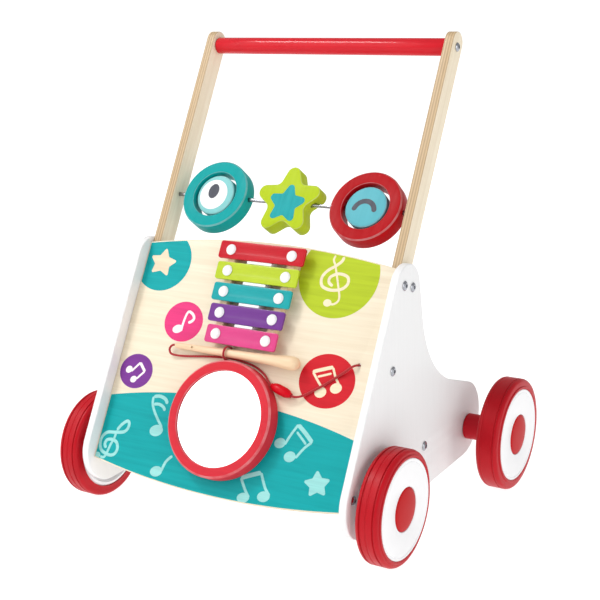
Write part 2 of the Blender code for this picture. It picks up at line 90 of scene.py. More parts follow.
def across(x, from_axle, height, side=1):
    """Matrix beside the walker, with its Z outwards on that side."""
    return shift(x * side, FRONT_AXLE_Y + from_axle, height) @ Matrix.Rotation(side * pi / 2, 4, "Y")


def across_at(v, w, x=0.0, side=1):
    """The same for a point given on the panel's axes."""
    behind, height = PANEL_FOOT
    return across(x, behind + v * sin(LEAN) - w * cos(LEAN), height + v * cos(LEAN) + w * sin(LEAN), side)


# ---- Camera ----

CAMERA_AT = (665.1, -944.3, 551.3)     # x, distance behind the front axle, height over the panel's foot
CAMERA_YAW, CAMERA_PITCH, CAMERA_ROLL = radians(32.47), radians(16.26), radians(-2.04)


def make_camera():
    x, from_axle, height = CAMERA_AT
    place = shift(x, FRONT_AXLE_Y + from_axle, height + PANEL_FOOT[1])
    turn = Matrix.Rotation(CAMERA_YAW, 4, "Z") @ Matrix.Rotation(pi / 2 - CAMERA_PITCH, 4, "X")
    data = bpy.data.cameras.new("camera")
    data.lens = 73.34
    data.sensor_width = 36.0
    data.shift_x = 0.025
    data.shift_y = 0.030
    data.clip_end = 80.0
    camera = add_object("camera", data, place @ turn @ Matrix.Rotation(CAMERA_ROLL, 4, "Z"))
    bpy.context.scene.camera = camera


# ---- Materials ----

def srgb(*levels):
    """Colour for a shader from display levels of red, green and blue, out of 255."""
    shares = [level / 255 for level in levels]
    return tuple(s / 12.92 if s <= 0.04045 else ((s + 0.055) / 1.055) ** 2.4 for s in shares) + (1.0,)


def grey(level):
    return (level, level, level, 1.0)


# Paler colour, used for the painted highlights on chamfers.
def pale(colour):
    return tuple(c + (1.0 - c) * 0.55 for c in colour[:3]) + (1.0,)


class Nodes:
    """A material's node tree, with short ways to add to it.

    lean is for a piece whose mesh lies in the world's axes: its grain then follows the panel's.
    """

    def __init__(self, name, roughness, metallic=0.0, specular=0.5, lean=0.0):
        self.material = bpy.data.materials.new(name)
        self.material.use_nodes = True
        self.tree = self.material.node_tree
        self.shader = self.tree.nodes["Principled BSDF"]
        self.set("Roughness", roughness)
        self.set("Metallic", metallic)
        self.set("Specular IOR Level", specular)
        found = self.add("TexCoord").outputs
        self.place, self.facing = (self.mapped(found[name], Rotation=(-lean, 0.0, 0.0))
                                   for name in ("Object", "Normal"))

    def feed(self, socket, value):
        """Link what another node gives, or set a value that is the same all over."""
        if isinstance(value, bpy.types.NodeSocket):
            self.tree.links.new(value, socket)
        else:
            socket.default_value = value

    def set(self, name, value):
        self.feed(self.shader.inputs[name], value)

    def add(self, kind, **values):
        """New node. An underscore in the name of an input stands for a space."""
        made = self.tree.nodes.new("ShaderNode" + kind)
        for name, value in values.items():
            self.feed(made.inputs[name.replace("_", " ")], value)
        return made

    def mapped(self, vector, **values):
        return self.add("Mapping", Vector=vector, **values).outputs["Vector"]

    def along(self, vector, axis):
        return self.add("SeparateXYZ", Vector=vector).outputs[axis]

    def noise(self, scale, detail, roughness=0.55, distortion=0.0):
        """Noise with so many cells to the metre: one number, or one for each of the piece's axes."""
        scale = scale if isinstance(scale, tuple) else (scale,) * 3
        made = self.add("TexNoise", Vector=self.mapped(self.place, Scale=scale),
                        Scale=1.0, Detail=detail, Roughness=roughness, Distortion=distortion)
        return made.outputs["Fac"]

    def spread(self, value, low, high, to_low, to_high):
        """Take low to high of the value to to_low to to_high."""
        made = self.add("MapRange", Value=value, From_Min=low, From_Max=high, To_Min=to_low, To_Max=to_high)
        return made.outputs["Result"]

    def maths(self, operation, *values):
        made = self.add("Math")
        made.operation = operation
        for socket, value in zip(made.inputs, values):
            self.feed(socket, value)
        return made.outputs["Value"]

    def mix(self, share, first, second):
        made = self.add("Mix")
        made.data_type = "RGBA"
        for name, value in (("Factor", share), ("A", first), ("B", second)):
            self.feed(next(s for s in made.inputs if s.name == name and s.enabled), value)
        return next(s for s in made.outputs if s.enabled)

    def tint(self, value, low, high, most, first, second):
        """The first colour, turning to a share of the second as the value goes from low to high."""
        return self.mix(self.spread(value, low, high, 0.0, most), first, second)

    def painted_edge_highlights(self, tone, colour, share):
        """Painted highlight: paler colour on the slopes between a face and a side, broken into patches by
        noise.
        """
        slope = self.maths("ABSOLUTE", self.along(self.facing, "Z"))
        wear_and_highlight_patches = self.spread(self.noise(70, 3.0), 0.35, 0.6, 0.35, 1.0)
        off_side = self.spread(slope, 0.3, 0.5, 0.0, share)
        edge = self.maths("MULTIPLY", off_side, self.spread(slope, 0.85, 0.97, 1.0, 0.0))
        return self.mix(self.maths("MULTIPLY", edge, wear_and_highlight_patches), tone, pale(colour))

    def colour(self, value):
        self.set("Base Color", value)

    def glow(self, strength):
        self.set("Emission Color", grey(1.0))
        self.set("Emission Strength", strength)

    def roughness(self, *spread):
        self.set("Roughness", self.spread(*spread))

    def bump(self, height, distance, strength):
        made = self.add("Bump", Height=height, Distance=distance * MM, Strength=strength)
        self.set("Normal", made.outputs["Normal"])


def shade(colour, factor):
    return tuple(c * factor for c in colour[:3]) + (1.0,)


# Cells to the metre of the grain and of its pores, by the axis that they run along
GRAIN = {"X": (10, 260, 260), "Y": (260, 10, 260), "Z": (260, 260, 10)}
PORES = {"X": (45, 2600, 2600), "Y": (2600, 45, 2600), "Z": (2600, 2600, 45)}


def wood(name, light, dark, grain="X", plies=None, lean=0.0, roughness=0.5):
    """Bare lacquered wood. plies names the axis across the sheets of plywood, seen at its edges."""
    nodes = Nodes(name, roughness, lean=lean)
    broad = nodes.noise(tuple(s * 0.3 for s in GRAIN[grain]), 3.0, 0.5, 0.6)
    figure = nodes.noise(GRAIN[grain], 6.0, 0.6, 0.25)
    pores = nodes.noise(PORES[grain], 3.0, 0.7)
    tone = nodes.tint(figure, 0.34, 0.7, 0.7, light, dark)
    tone = nodes.tint(broad, 0.35, 0.7, 0.3, tone, shade(dark, 0.98))
    tone = nodes.tint(pores, 0.62, 0.78, 0.35, tone, shade(dark, 0.62))
    if plies:
        axis, pitch = plies
        wander = nodes.spread(nodes.noise(30, 2.0), 0.0, 1.0, -0.00018, 0.00018)
        depth = nodes.maths("ADD", nodes.along(nodes.place, axis), wander)
        layer = nodes.maths("PINGPONG", depth, pitch * MM)
        sheet = nodes.spread(layer, pitch * MM * 0.3, pitch * MM * 0.62, 0.0, 1.0)
        along = nodes.noise(tuple(s * 0.9 for s in GRAIN[grain]), 4.0, 0.7)
        edge = nodes.mix(nodes.maths("MULTIPLY", sheet, nodes.spread(along, 0.3, 0.7, 0.55, 1.0)), *PLIES)
        across_plies = nodes.maths("ABSOLUTE", nodes.along(nodes.facing, axis))
        on_edge = nodes.spread(across_plies, 0.55, 0.8, 1.0, 0.0)
        tone = nodes.mix(on_edge, tone, edge)
    nodes.colour(tone)
    nodes.roughness(figure, 0.3, 0.7, roughness - 0.06, roughness + 0.08)
    nodes.bump(nodes.maths("ADD", nodes.maths("MULTIPLY", pores, 0.6), figure), 0.05, 0.45)
    return nodes.material


def painted_wood(name, colour, grain="Y", roughness=0.4, lean=0.0, coat=0.0, show=1.0):
    """Sprayed paint on wood: the grain just shows, the colour drifts, and the gloss is uneven."""
    nodes = Nodes(name, roughness, specular=0.08, lean=lean)
    nodes.set("Coat Weight", coat)
    nodes.set("Coat Roughness", 0.16)
    figure = nodes.noise(GRAIN[grain], 5.0, 0.6, 0.3)
    drift = nodes.noise(22, 2.0)
    flecks = nodes.noise(900, 2.0)
    tone = nodes.tint(figure, 0.35, 0.7, 0.75 * show, colour, shade(colour, 0.88))
    tone = nodes.tint(drift, 0.3, 0.7, 0.5 * show, tone, shade(colour, 1.08))
    # Painted highlight: paler colour on the chamfers, in patches.
    nodes.colour(nodes.painted_edge_highlights(tone, colour, 0.3))
    nodes.roughness(nodes.maths("ADD", drift, figure), 0.7, 1.3, roughness - 0.06, roughness + 0.1)
    nodes.bump(nodes.maths("ADD", nodes.maths("MULTIPLY", flecks, 0.4), figure), 0.04, 0.5 * show)
    return nodes.material


def ink(name, colour, grain="X"):
    """Screen-printed ink on the panel: thin enough for the grain and its pores to show through."""
    nodes = Nodes(name, 0.42, specular=0.15)
    figure = nodes.noise(GRAIN[grain], 6.0, 0.62, 0.25)
    pores = nodes.noise(PORES[grain], 3.0, 0.7)
    broad = nodes.noise((16, 60, 16), 2.0)
    tone = nodes.tint(figure, 0.34, 0.68, 0.8, shade(colour, 1.06), shade(colour, 0.84))
    tone = nodes.tint(broad, 0.3, 0.7, 0.35, tone, shade(colour, 1.14))
    tone = nodes.tint(pores, 0.62, 0.8, 0.4, tone, shade(colour, 0.6))
    nodes.colour(tone)
    nodes.roughness(figure, 0.3, 0.7, 0.36, 0.5)
    nodes.bump(nodes.maths("ADD", pores, figure), 0.05, 0.4)
    return nodes.material


def enamel(name, colour):
    """Stoved enamel on a metal bar: even and glossy with a faint orange peel."""
    nodes = Nodes(name, 0.34, specular=0.2)
    nodes.set("Coat Weight", 0.06)
    nodes.set("Coat Roughness", 0.12)
    peel = nodes.noise(420, 3.0, 0.5)
    drift = nodes.noise(35, 2.0)
    tone = nodes.tint(drift, 0.3, 0.7, 1.0, shade(colour, 0.95), shade(colour, 1.06))
    # Painted highlight: paler colour on the chamfers, in patches.
    nodes.colour(nodes.painted_edge_highlights(tone, colour, 0.3))
    nodes.roughness(drift, 0.3, 0.7, 0.31, 0.4)
    nodes.bump(peel, 0.03, 0.35)
    return nodes.material


def plastic(name, colour, roughness):
    """Moulded plastic: a fine spark-eroded skin and a slow drift in its gloss."""
    nodes = Nodes(name, roughness, specular=0.12)
    skin = nodes.noise(1600, 3.0, 0.6)
    drift = nodes.noise(28, 2.0)
    nodes.colour(nodes.tint(drift, 0.3, 0.7, 1.0, shade(colour, 0.97), shade(colour, 1.02)))
    nodes.roughness(drift, 0.3, 0.7, roughness - 0.05, roughness + 0.07)
    nodes.bump(skin, 0.02, 0.35)
    return nodes.material


def rubber(name, colour):
    """Tyre rubber: satin, with a fine moulded grain and a little paler where it is rubbed."""
    nodes = Nodes(name, 0.4, specular=0.2)
    nodes.set("Sheen Weight", 0.02)
    nodes.set("Sheen Roughness", 0.4)
    skin = nodes.noise(1100, 4.0, 0.65)
    drift = nodes.noise(20, 3.0)
    wear_and_highlight_patches = nodes.noise(90, 4.0, 0.6)
    tone = nodes.tint(drift, 0.3, 0.7, 1.0, shade(colour, 0.94), shade(colour, 1.05))
    tone = nodes.tint(wear_and_highlight_patches, 0.55, 0.8, 0.22, tone, shade(colour, 1.35))
    nodes.colour(tone)
    nodes.roughness(wear_and_highlight_patches, 0.3, 0.7, 0.33, 0.46)
    nodes.bump(skin, 0.05, 0.4)
    return nodes.material


def metal(name, colour, roughness, lines=700):
    """Polished metal with fine scratches. lines gives how close they lie."""
    nodes = Nodes(name, roughness, 1.0)
    brushed = nodes.noise(lines, 3.0, 0.6)
    drift = nodes.noise(60, 3.0)
    nodes.colour(nodes.tint(drift, 0.35, 0.7, 1.0, colour, shade(colour, 0.86)))
    nodes.roughness(brushed, 0.3, 0.7, roughness * 0.75, roughness * 1.35)
    nodes.bump(brushed, 0.01, 0.3)
    return nodes.material


def mirror_sheet(name):
    """Acrylic mirror: bright, with a faint haze and the odd wiping mark in its gloss."""
    nodes = Nodes(name, 0.03, 1.0)
    haze = nodes.noise(14, 3.0)
    wiped = nodes.noise((12, 900, 12), 2.0)
    base = srgb(250, 252, 253)
    nodes.colour(nodes.tint(haze, 0.35, 0.7, 1.0, base, shade(base, 0.985)))
    nodes.roughness(nodes.maths("MULTIPLY", haze, wiped), 0.2, 0.4, 0.02, 0.05)
    return nodes.material


def twine(name, colour):
    """Cotton twine: matt and hairy, with painted shade in the hollows between its fibres and paler fibre
    tops.
    """
    nodes = Nodes(name, 0.8)
    nodes.set("Sheen Weight", 0.35)
    nodes.set("Sheen Roughness", 0.5)
    fibre = nodes.noise(3200, 3.0, 0.7)
    drift = nodes.noise(240, 3.0)
    # Painted shade and highlight: darker where the fibre relief is low, paler where it is high.
    tone = nodes.tint(fibre, 0.35, 0.7, 1.0, shade(colour, 0.72), shade(colour, 1.2))
    nodes.colour(nodes.tint(drift, 0.3, 0.7, 0.5, tone, shade(colour, 0.85)))
    nodes.bump(fibre, 0.12, 0.6)
    return nodes.material


def floor_paper(name):
    """Floor lit from within, so that it is white but still takes a shadow."""
    nodes = Nodes(name, 0.9, specular=0.1)
    nodes.glow(0.95)
    drift = nodes.noise(1.2, 2.0)
    nodes.colour(nodes.tint(drift, 0.3, 0.7, 1.0, grey(0.3), grey(0.33)))
    return nodes.material


def card_glow(name):
    """White card that shines a little, for the mirror to show."""
    nodes = Nodes(name, 1.0)
    nodes.colour(nodes.mix(nodes.noise(3, 2.0), grey(0.9), grey(0.95)))
    nodes.glow(1.1)
    return nodes.material


# Light and dark of each wood, and of the plies at its edges
BIRCH = srgb(242, 230, 206), srgb(227, 210, 181)
PLIES = srgb(203, 176, 137), srgb(172, 143, 107)
BEECH = srgb(244, 216, 180), srgb(226, 190, 148)

PAINTS = {"teal": (0, 158, 158), "lime": (180, 202, 36), "red": (174, 0, 12),
          "pale_teal": (138, 204, 204), "pale_blue": (96, 180, 192)}
BAR_PAINTS = {"red": (192, 8, 30), "lime": (182, 202, 40), "teal": (8, 158, 162),
              "purple": (110, 50, 138), "pink": (214, 64, 130)}
PANEL_INKS = {"teal": (0, 160, 163), "lime": (177, 196, 36), "red": (204, 24, 38), "pink": (226, 58, 124),
              "purple": (120, 54, 144), "pale_teal": (152, 216, 212), "cream": (238, 224, 192),
              "bare": (238, 216, 186), "white": (250, 240, 240)}
TOY_INKS = {"eye_white": (246, 246, 246), "charcoal": (78, 80, 90), "star_teal": (0, 158, 162)}

# Each finish: the function that makes it, and what that takes after the name
FINISHES = {
    "side_white": (painted_wood, srgb(240, 240, 240), "Y", 0.42, 0.0, 0.1, 0.25),
    "panel_birch": (wood, *BIRCH, "X", ("Z", 0.55)),
    "upright_birch": (wood, *BIRCH, "Y", ("X", 1.45), TILT),
    "batten_birch": (wood, *BIRCH),
    "beech_x": (wood, *BEECH),
    "beech_z": (wood, *BEECH, "Z", None, 0.0, 0.42),
    "handle_red": (painted_wood, srgb(206, 30, 42), "Z", 0.3, 0.0, 0.2),
    "mirror_coral": (painted_wood, srgb(212, 50, 62), "X", 0.36, TILT),
    "wheel_white": (plastic, srgb(247, 247, 248), 0.34),
    "pin_white": (plastic, srgb(248, 248, 250), 0.28),
    "hub_red": (plastic, srgb(190, 8, 16), 0.42),
    "bead_red": (plastic, srgb(206, 12, 30), 0.16),
    "spacer_red": (plastic, srgb(196, 28, 42), 0.4),
    "tyre_red": (rubber, srgb(187, 8, 26)),
    "steel": (metal, srgb(196, 197, 200), 0.26),
    "rod_steel": (metal, srgb(158, 159, 164), 0.28, (900, 900, 40)),
    "bolt_steel": (metal, srgb(176, 178, 184), 0.22),
    "mirror": (mirror_sheet,),
    "cord_red": (twine, srgb(176, 12, 26)),
    "floor_white": (floor_paper,),
    "card_white": (card_glow,),
}
FINISHES |= {"toy_" + name: (painted_wood, srgb(*levels)) for name, levels in PAINTS.items()}
FINISHES |= {"bar_" + name: (enamel, srgb(*levels)) for name, levels in BAR_PAINTS.items()}
FINISHES |= {"ink_" + name: (ink, srgb(*levels)) for name, levels in PANEL_INKS.items()}
FINISHES |= {"ink_" + name: (ink, srgb(*levels), "Y") for name, levels in TOY_INKS.items()}


def material(name):
    make, *details = FINISHES[name]
    return bpy.data.materials.get(name) or make(name, *details)


# ---- Shapes ----

def add_object(name, data, matrix, finish=None):
    made = bpy.data.objects.new(name, data)
    made.matrix_world = matrix
    bpy.context.scene.collection.objects.link(made)
    if finish:
        data.materials.append(material(finish))
    return made


def smooth(made, angle=32):
    """Shade the piece smooth but for edges sharper than the angle."""
    mesh = made.data
    mesh.polygons.foreach_set("use_smooth", [True] * len(mesh.polygons))
    mesh.set_sharp_from_angle(angle=radians(angle))
    mesh.update()
    return made


def mesh_object(name, bm, matrix, finish, angle=32):
    bmesh.ops.recalc_face_normals(bm, faces=bm.faces)
    mesh = bpy.data.meshes.new(name)
    bm.to_mesh(mesh)
    bm.free()
    return smooth(add_object(name, mesh, matrix, finish), angle)


def evaluated(made):
    """Mesh of an object as its curve or modifiers leave it."""
    bpy.context.view_layer.update()
    return bpy.data.meshes.new_from_object(made.evaluated_get(bpy.context.evaluated_depsgraph_get()))


def arc(centre, radius, start, end, count):
    angles = [start + (end - start) * i / count for i in range(count + 1)]
    return [(centre[0] + radius * cos(a), centre[1] + radius * sin(a)) for a in angles]


def box_corners(half_x, half_y):
    return [(-half_x, -half_y), (half_x, -half_y), (half_x, half_y), (-half_x, half_y)]


def circle(centre, radius, count=32):
    return arc(centre, radius, 0.0, 2 * pi, count)[:-1]


def raised(height, profile):
    return [(radius, height + over) for radius, over in profile]


def both_ends(half_profile):
    """Profile from its top to its middle, with the same mirrored below."""
    return half_profile + [(radius, -height) for radius, height in reversed(half_profile)]


def rounded(corners, radii, count=6, closed=True):
    """Points through corners, each rounded to its radius. The ends of an open run stay sharp."""
    outline = []
    for i, corner in enumerate(corners):
        radius = radii[i] if isinstance(radii, (list, tuple)) else radii
        if radius <= 0 or (not closed and i in (0, len(corners) - 1)):
            outline.append(tuple(corner))
            continue
        here = Vector(corner)
        back, ahead = Vector(corners[i - 1]) - here, Vector(corners[(i + 1) % len(corners)]) - here
        turn = back.angle(ahead)
        reach = radius / tan(turn / 2)
        centre = here + (back.normalized() + ahead.normalized()).normalized() * radius / sin(turn / 2)
        start = here + back.normalized() * reach - centre
        end = here + ahead.normalized() * reach - centre
        first = atan2(start.y, start.x)
        sweep = (atan2(end.y, end.x) - first + pi) % (2 * pi) - pi
        outline += arc(centre, radius, first, first + sweep, count)
    return outline


def round_pairs(items):
    """Each item with the next, and the last with the first."""
    return zip(items, items[1:] + items[:1])


def add_skin(bm, first, second):
    """Faces between two closed rows of corners. A row drawn in to a point repeats its one corner."""
    for (a, b), (c, d) in zip(round_pairs(first), round_pairs(second)):
        corners = list(dict.fromkeys((a, c, d, b)))
        if len(corners) > 2:
            bm.faces.new(corners)


def turned(name, profile, matrix, finish, steps, ring=False, angle=32):
    """Piece turned about local Z from (radius, height) points."""
    bm = bmesh.new()
    turns = [2 * pi * i / steps for i in range(steps)]
    rows = []
    for radius, height in profile:
        if radius < 1e-6:
            rows.append([bm.verts.new((0, 0, height * MM))] * steps)
        else:
            rows.append([bm.verts.new((radius * cos(a) * MM, radius * sin(a) * MM, height * MM))
                         for a in turns])
    for upper, lower in round_pairs(rows) if ring else zip(rows, rows[1:]):
        add_skin(bm, upper, lower)
    return mesh_object(name, bm, matrix, finish, angle)


def flat(name, outlines, thickness, matrix, finish, edge=0.0, steps=3, angle=32):
    """Flat piece centred on local Z. Outlines inside the first one are holes."""
    curve = bpy.data.curves.new(name, "CURVE")
    curve.dimensions = "2D"
    curve.fill_mode = "BOTH"
    curve.extrude = (thickness / 2 - edge) * MM
    curve.bevel_depth = edge * MM
    curve.bevel_resolution = steps
    curve.offset = -edge * MM
    for outline in outlines:
        spline = curve.splines.new("POLY")
        spline.points.add(len(outline) - 1)
        for point, (x, y) in zip(spline.points, outline):
            point.co = (x * MM, y * MM, 0.0, 1.0)
        spline.use_cyclic_u = True
    shape = add_object(name + "_curve", curve, Matrix.Identity(4))
    mesh = evaluated(shape)
    bpy.data.objects.remove(shape, do_unlink=True)
    bpy.data.curves.remove(curve)
    bm = bmesh.new()
    bm.from_mesh(mesh)
    bpy.data.meshes.remove(mesh)
    bmesh.ops.remove_doubles(bm, verts=bm.verts, dist=1e-6)
    return mesh_object(name, bm, matrix, finish, angle)


def curve_through(route, spacing):
    """Catmull-Rom curve through the route's points, with a point about every spacing."""
    route = [Vector(p) for p in route]
    ends = [2 * route[0] - route[1]] + route + [2 * route[-1] - route[-2]]
    made = [route[0]]
    for i in range(1, len(ends) - 2):
        a, b, c, d = ends[i - 1:i + 3]
        count = max(1, round((c - b).length / spacing))
        for step in range(1, count + 1):
            t = step / count
            made.append(0.5 * (2 * b + (c - a) * t + (2 * a - 5 * b + 4 * c - d) * t ** 2
                               + (3 * b - a - 3 * c + d) * t ** 3))
    return made


def drill(body, radius, depth, matrix, sides=32):
    """Hole along matrix's Z, half its depth either way. The matrix is in the body's axes."""
    bm = bmesh.new()
    bmesh.ops.create_cone(bm, cap_ends=True, segments=sides, radius1=radius * MM, radius2=radius * MM,
                          depth=depth * MM, matrix=matrix)
    mesh = bpy.data.meshes.new("cutter")
    bm.to_mesh(mesh)
    bm.free()
    cutter = add_object("cutter", mesh, body.matrix_world)
    boolean = body.modifiers.new("hole", "BOOLEAN")
    boolean.operation = "DIFFERENCE"
    boolean.object = cutter
    made = evaluated(body)
    body.modifiers.clear()
    body.data = made
    bpy.data.objects.remove(cutter, do_unlink=True)
    return smooth(body)


def settle(made):
    """Put the piece's place into its mesh, so that its box is square to the world."""
    made.data.transform(made.matrix_world)
    made.matrix_world = Matrix.Identity(4)
    return made


def piece(made, body, slot=None, *nodes):
    """The piece rides on the body and stands for the CAD nodes, which it hides. slot is not used."""
    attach(made, body)
    if nodes:
        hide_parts(*nodes)
    return made


def fixed(made, slot, *nodes):
    return piece(made, "frame", slot, *nodes)


# ---- Cord, bead, mallet and loop ----

CORD_R = 1.2
CORD_LAY = 6.0                  # one turn of the cord's three strands
CORD_ROUTE = (                  # (u, v, w), from the hole in the panel to the mallet's thin end
    (131.2, 208.1, -5.0), (131.2, 208.1, -1.4), (130.2, 207.3, 2.3), (126.8, 204.8, 4.5),
    (120.4, 199.8, 3.0), (111.0, 192.6, 1.5), (99.0, 182.9, 1.4), (90.0, 176.5, 1.5),
    (82.0, 170.6, 2.4), (75.6, 167.2, 4.6), (69.6, 167.2, 5.5), (57.4, 170.6, 5.5), (45.2, 174.0, 5.5),
    (39.5, 177.6, 4.2), (31.5, 184.2, 2.0), (19.5, 189.8, 1.4), (6.0, 192.6, 1.4),
    (-13.5, 194.4, 1.5), (-40.0, 192.3, 1.6), (-62.0, 189.4, 1.8), (-73.0, 188.2, 2.6),
    (-80.9, 188.2, 3.6), (-84.4, 189.5, 4.2), (-86.0, 193.0, 4.8), (-84.6, 196.4, 5.3),
    (-81.5, 198.0, 5.5), (-79.4, 198.0, 5.5),
)
BEAD_L, BEAD_R, BEAD_AT = 25.0, 5.0, 11         # the last is its point of the route
MALLET_U, MALLET_V, MALLET_W = (-79.0, 73.0), 198.0, (5.5, 10.5)
MALLET_EYE_U, MALLET_EYE_R = -56.0, 1.2
LOOP_U, LOOP_R, LOOP_WIRE_R = -13.5, 6.6, 1.2


def three_strand_cord(name, points, radius):
    """Cord laid of three strands, through points in metres."""
    sides, twist = 18, 2 * pi / (CORD_LAY * MM)
    bm = bmesh.new()
    rings = []
    side = None
    travelled = 0.0
    for i, point in enumerate(points):
        before, after = points[max(i - 1, 0)], points[min(i + 1, len(points) - 1)]
        forward = (after - before).normalized()
        if side is None:
            side = forward.orthogonal().normalized()
        side = (side - forward * side.dot(forward)).normalized()
        other = forward.cross(side)
        travelled += (point - points[i - 1]).length if i else 0.0
        ring = []
        for k in range(sides):
            a = 2 * pi * k / sides
            reach = radius * (0.84 + 0.16 * abs(cos(1.5 * (a - twist * travelled)))) * MM
            ring.append(bm.verts.new(point + (side * cos(a) + other * sin(a)) * reach))
        rings.append(ring)
    for first, second in zip(rings, rings[1:]):
        add_skin(bm, first, second)
    bm.faces.new(rings[0])
    bm.faces.new(rings[-1])
    return mesh_object(name, bm, Matrix.Identity(4), "cord_red", 60)


def on_path(route):
    """Smooth path in metres through points on the panel's axes."""
    return [on_panel(*p).translation for p in curve_through(route, 0.6)]


def make_bead():
    before, at, after = (on_panel(*CORD_ROUTE[BEAD_AT + step]).translation for step in (-1, 0, 1))
    place = facing(at, before - after)
    half, bore = BEAD_L / 2, CORD_R + 0.5
    side = []
    for step in range(25):
        height = half * (1 - step / 12)
        side.append((max(BEAD_R * (1 - abs(height / half) ** 3.2) ** 0.55, bore + 0.7), height))
    bead = turned("bead_shell", side + [(bore, -half), (bore, half)], place, "bead_red", 64, True, 60)
    return fixed(bead, "red_cord", "cord_bead")


def make_cord(bead):
    """Cord from its hole in the panel to the thin end of the mallet."""
    path = on_path(CORD_ROUTE)
    cord = three_strand_cord("cord_twine", path, CORD_R)
    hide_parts("mallet_cord")
    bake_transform(cord)


def mallet_height(u):
    """Height of the mallet's middle line over the panel at u."""
    share = (u - MALLET_U[0]) / (MALLET_U[1] - MALLET_U[0])
    return MALLET_W[0] + share * (MALLET_W[1] - MALLET_W[0])


def make_mallet():
    thin, thick = (on_panel(u, MALLET_V, w).translation for u, w in zip(MALLET_U, MALLET_W))
    along = thick - thin
    length = along.length / MM
    head = [(0.0, 0.0), (2.4, -0.3), (4.4, -1.3), (5.8, -3.0), (6.7, -5.8), (7.0, -9.5), (6.9, -13.5),
            (6.45, -18.5), (5.75, -26.0), (5.15, -36.0)]
    stick = [(4.75, length * 0.66), (4.3, length * 0.48), (3.8, length * 0.32), (3.35, length * 0.18),
             (2.95, 5.0), (2.75, 1.4), (2.4, 0.4), (0.0, 0.0)]
    place = facing(thin, along)
    mallet = turned("mallet_turning", raised(length, head) + stick, place, "beech_z", 64)
    eye = on_panel(MALLET_EYE_U, MALLET_V, mallet_height(MALLET_EYE_U))
    drill(mallet, MALLET_EYE_R, 16.0, place.inverted() @ eye)
    piece(mallet, "mallet_stick", "beech", "mallet")


def make_loop():
    over = [(LOOP_U, v, w) for v, w in arc((MALLET_V, mallet_height(LOOP_U)), LOOP_R, 0.0, pi, 14)]
    route = [(LOOP_U, MALLET_V + LOOP_R, LOOP_WIRE_R)] + over + [(LOOP_U, MALLET_V - LOOP_R, LOOP_WIRE_R)]
    fixed(three_strand_cord("loop_twine", on_path(route), LOOP_WIRE_R), "red_cord", "mallet_loop")


# ---- Wheels ----

# Place, inner face's distance from the middle, distance behind the front axle, and radius
WHEELS = (("front", 165.4, 0.0, 57.0), ("rear", 191.3, WHEELBASE, 60.0))
WHEEL_W = 26.0
DISC_R, CORE_R, CAP_R, AXLE_R, SPACER_R = 49.0, 46.0, 21.6, 3.0, 14.0
TREAD = {                       # grooves: height over the wheel's inner face, and depth
    "front": ((6.2, 1.1), (12.8, 0.5), (19.9, 1.1)),
    "rear": ((6.2, 0.5), (19.9, 0.8)),
}
TREAD_WIDE = 0.75               # half the width of a groove
SHOULDER = ((3.0, 1.2), (1.6, 1.8), (0.6, 3.0), (0.0, 4.8))     # in from the tread, in from the side


def tyre_profile(place, radius):
    """Outer side of the tyre from its outer face to its inner one, with the tread's grooves."""
    profile = raised(WHEEL_W, [(DISC_R + 2.6, 0.0), (DISC_R + 3.1, -0.5), (DISC_R + 3.3, -1.1)]
                     + [(radius - deep, -along) for deep, along in SHOULDER])
    for height, deep in reversed(TREAD[place]):
        half = [(radius, TREAD_WIDE + 0.4), (radius - 0.4, TREAD_WIDE), (radius - deep, TREAD_WIDE * 0.7)]
        profile += raised(height, both_ends(half))
    profile += [(radius - deep, along) for deep, along in reversed(SHOULDER)]
    profile += [(DISC_R + 3.3, 1.1), (CORE_R + 2.0, 1.1), (CORE_R + GAP, 0.4)]
    return profile + raised(WHEEL_W, [(CORE_R + GAP, -2.8), (DISC_R + GAP, -2.8), (DISC_R + GAP, -0.3),
                                      (DISC_R + 0.7, 0.0)])


def disc_profile():
    """Wheel disc with a raised rim, a fine moulded line inside it and a seat for the hub cap."""
    face = raised(WHEEL_W, [(CAP_R + GAP, -0.5), (CAP_R + 0.9, -0.2), (DISC_R - 3.6, -0.2),
                            (DISC_R - 3.2, -0.7), (DISC_R - 2.7, -0.7), (DISC_R - 2.3, -0.1),
                            (DISC_R - 0.5, 0.0), (DISC_R, -0.4), (DISC_R, -2.5), (CORE_R, -2.5)])
    back = [(CORE_R, 2.0), (CORE_R - 2.0, 0.0), (CORE_R - 4.0, 0.0), (CORE_R - 5.0, 5.0),
            (SPACER_R + 3.0, 5.0), (SPACER_R + 1.0, 0.0), (AXLE_R + 0.4, 0.0)]
    return face + back + raised(WHEEL_W, [(AXLE_R + 0.4, -4.5), (CAP_R + GAP, -4.5)])


def cap_profile():
    """Domed hub cap, which stands a little out of the disc."""
    return raised(WHEEL_W, [(0.0, 1.5), (5.0, 1.42), (10.0, 1.2), (15.0, 0.75), (18.6, 0.25), (20.6, -0.25),
                            (21.3, -0.8), (CAP_R, -1.5), (CAP_R, -2.1), (0.0, -2.1)])


def make_wheels():
    for place, x, behind, radius in WHEELS:
        for hand, side in SIDES:
            wheel, at = f"{place}_{hand}", across(x, behind, radius, side)
            for part, node, profile, finish, slot, steps, ring, angle in (
                    ("tyre", "tyre", tyre_profile(place, radius), "tyre_red", "red_rubber", 144, True, 40),
                    ("disc", "wheel_disc", disc_profile(), "wheel_white", "white_plastic", 128, True, 40),
                    ("cap", "hub_cap", cap_profile(), "hub_red", "red_plastic", 96, False, 32)):
                made = turned(f"{part}_{wheel}_moulding", profile, at, finish, steps, ring, angle)
                piece(made, f"wheel_{wheel}", slot, f"{node}_{wheel}")


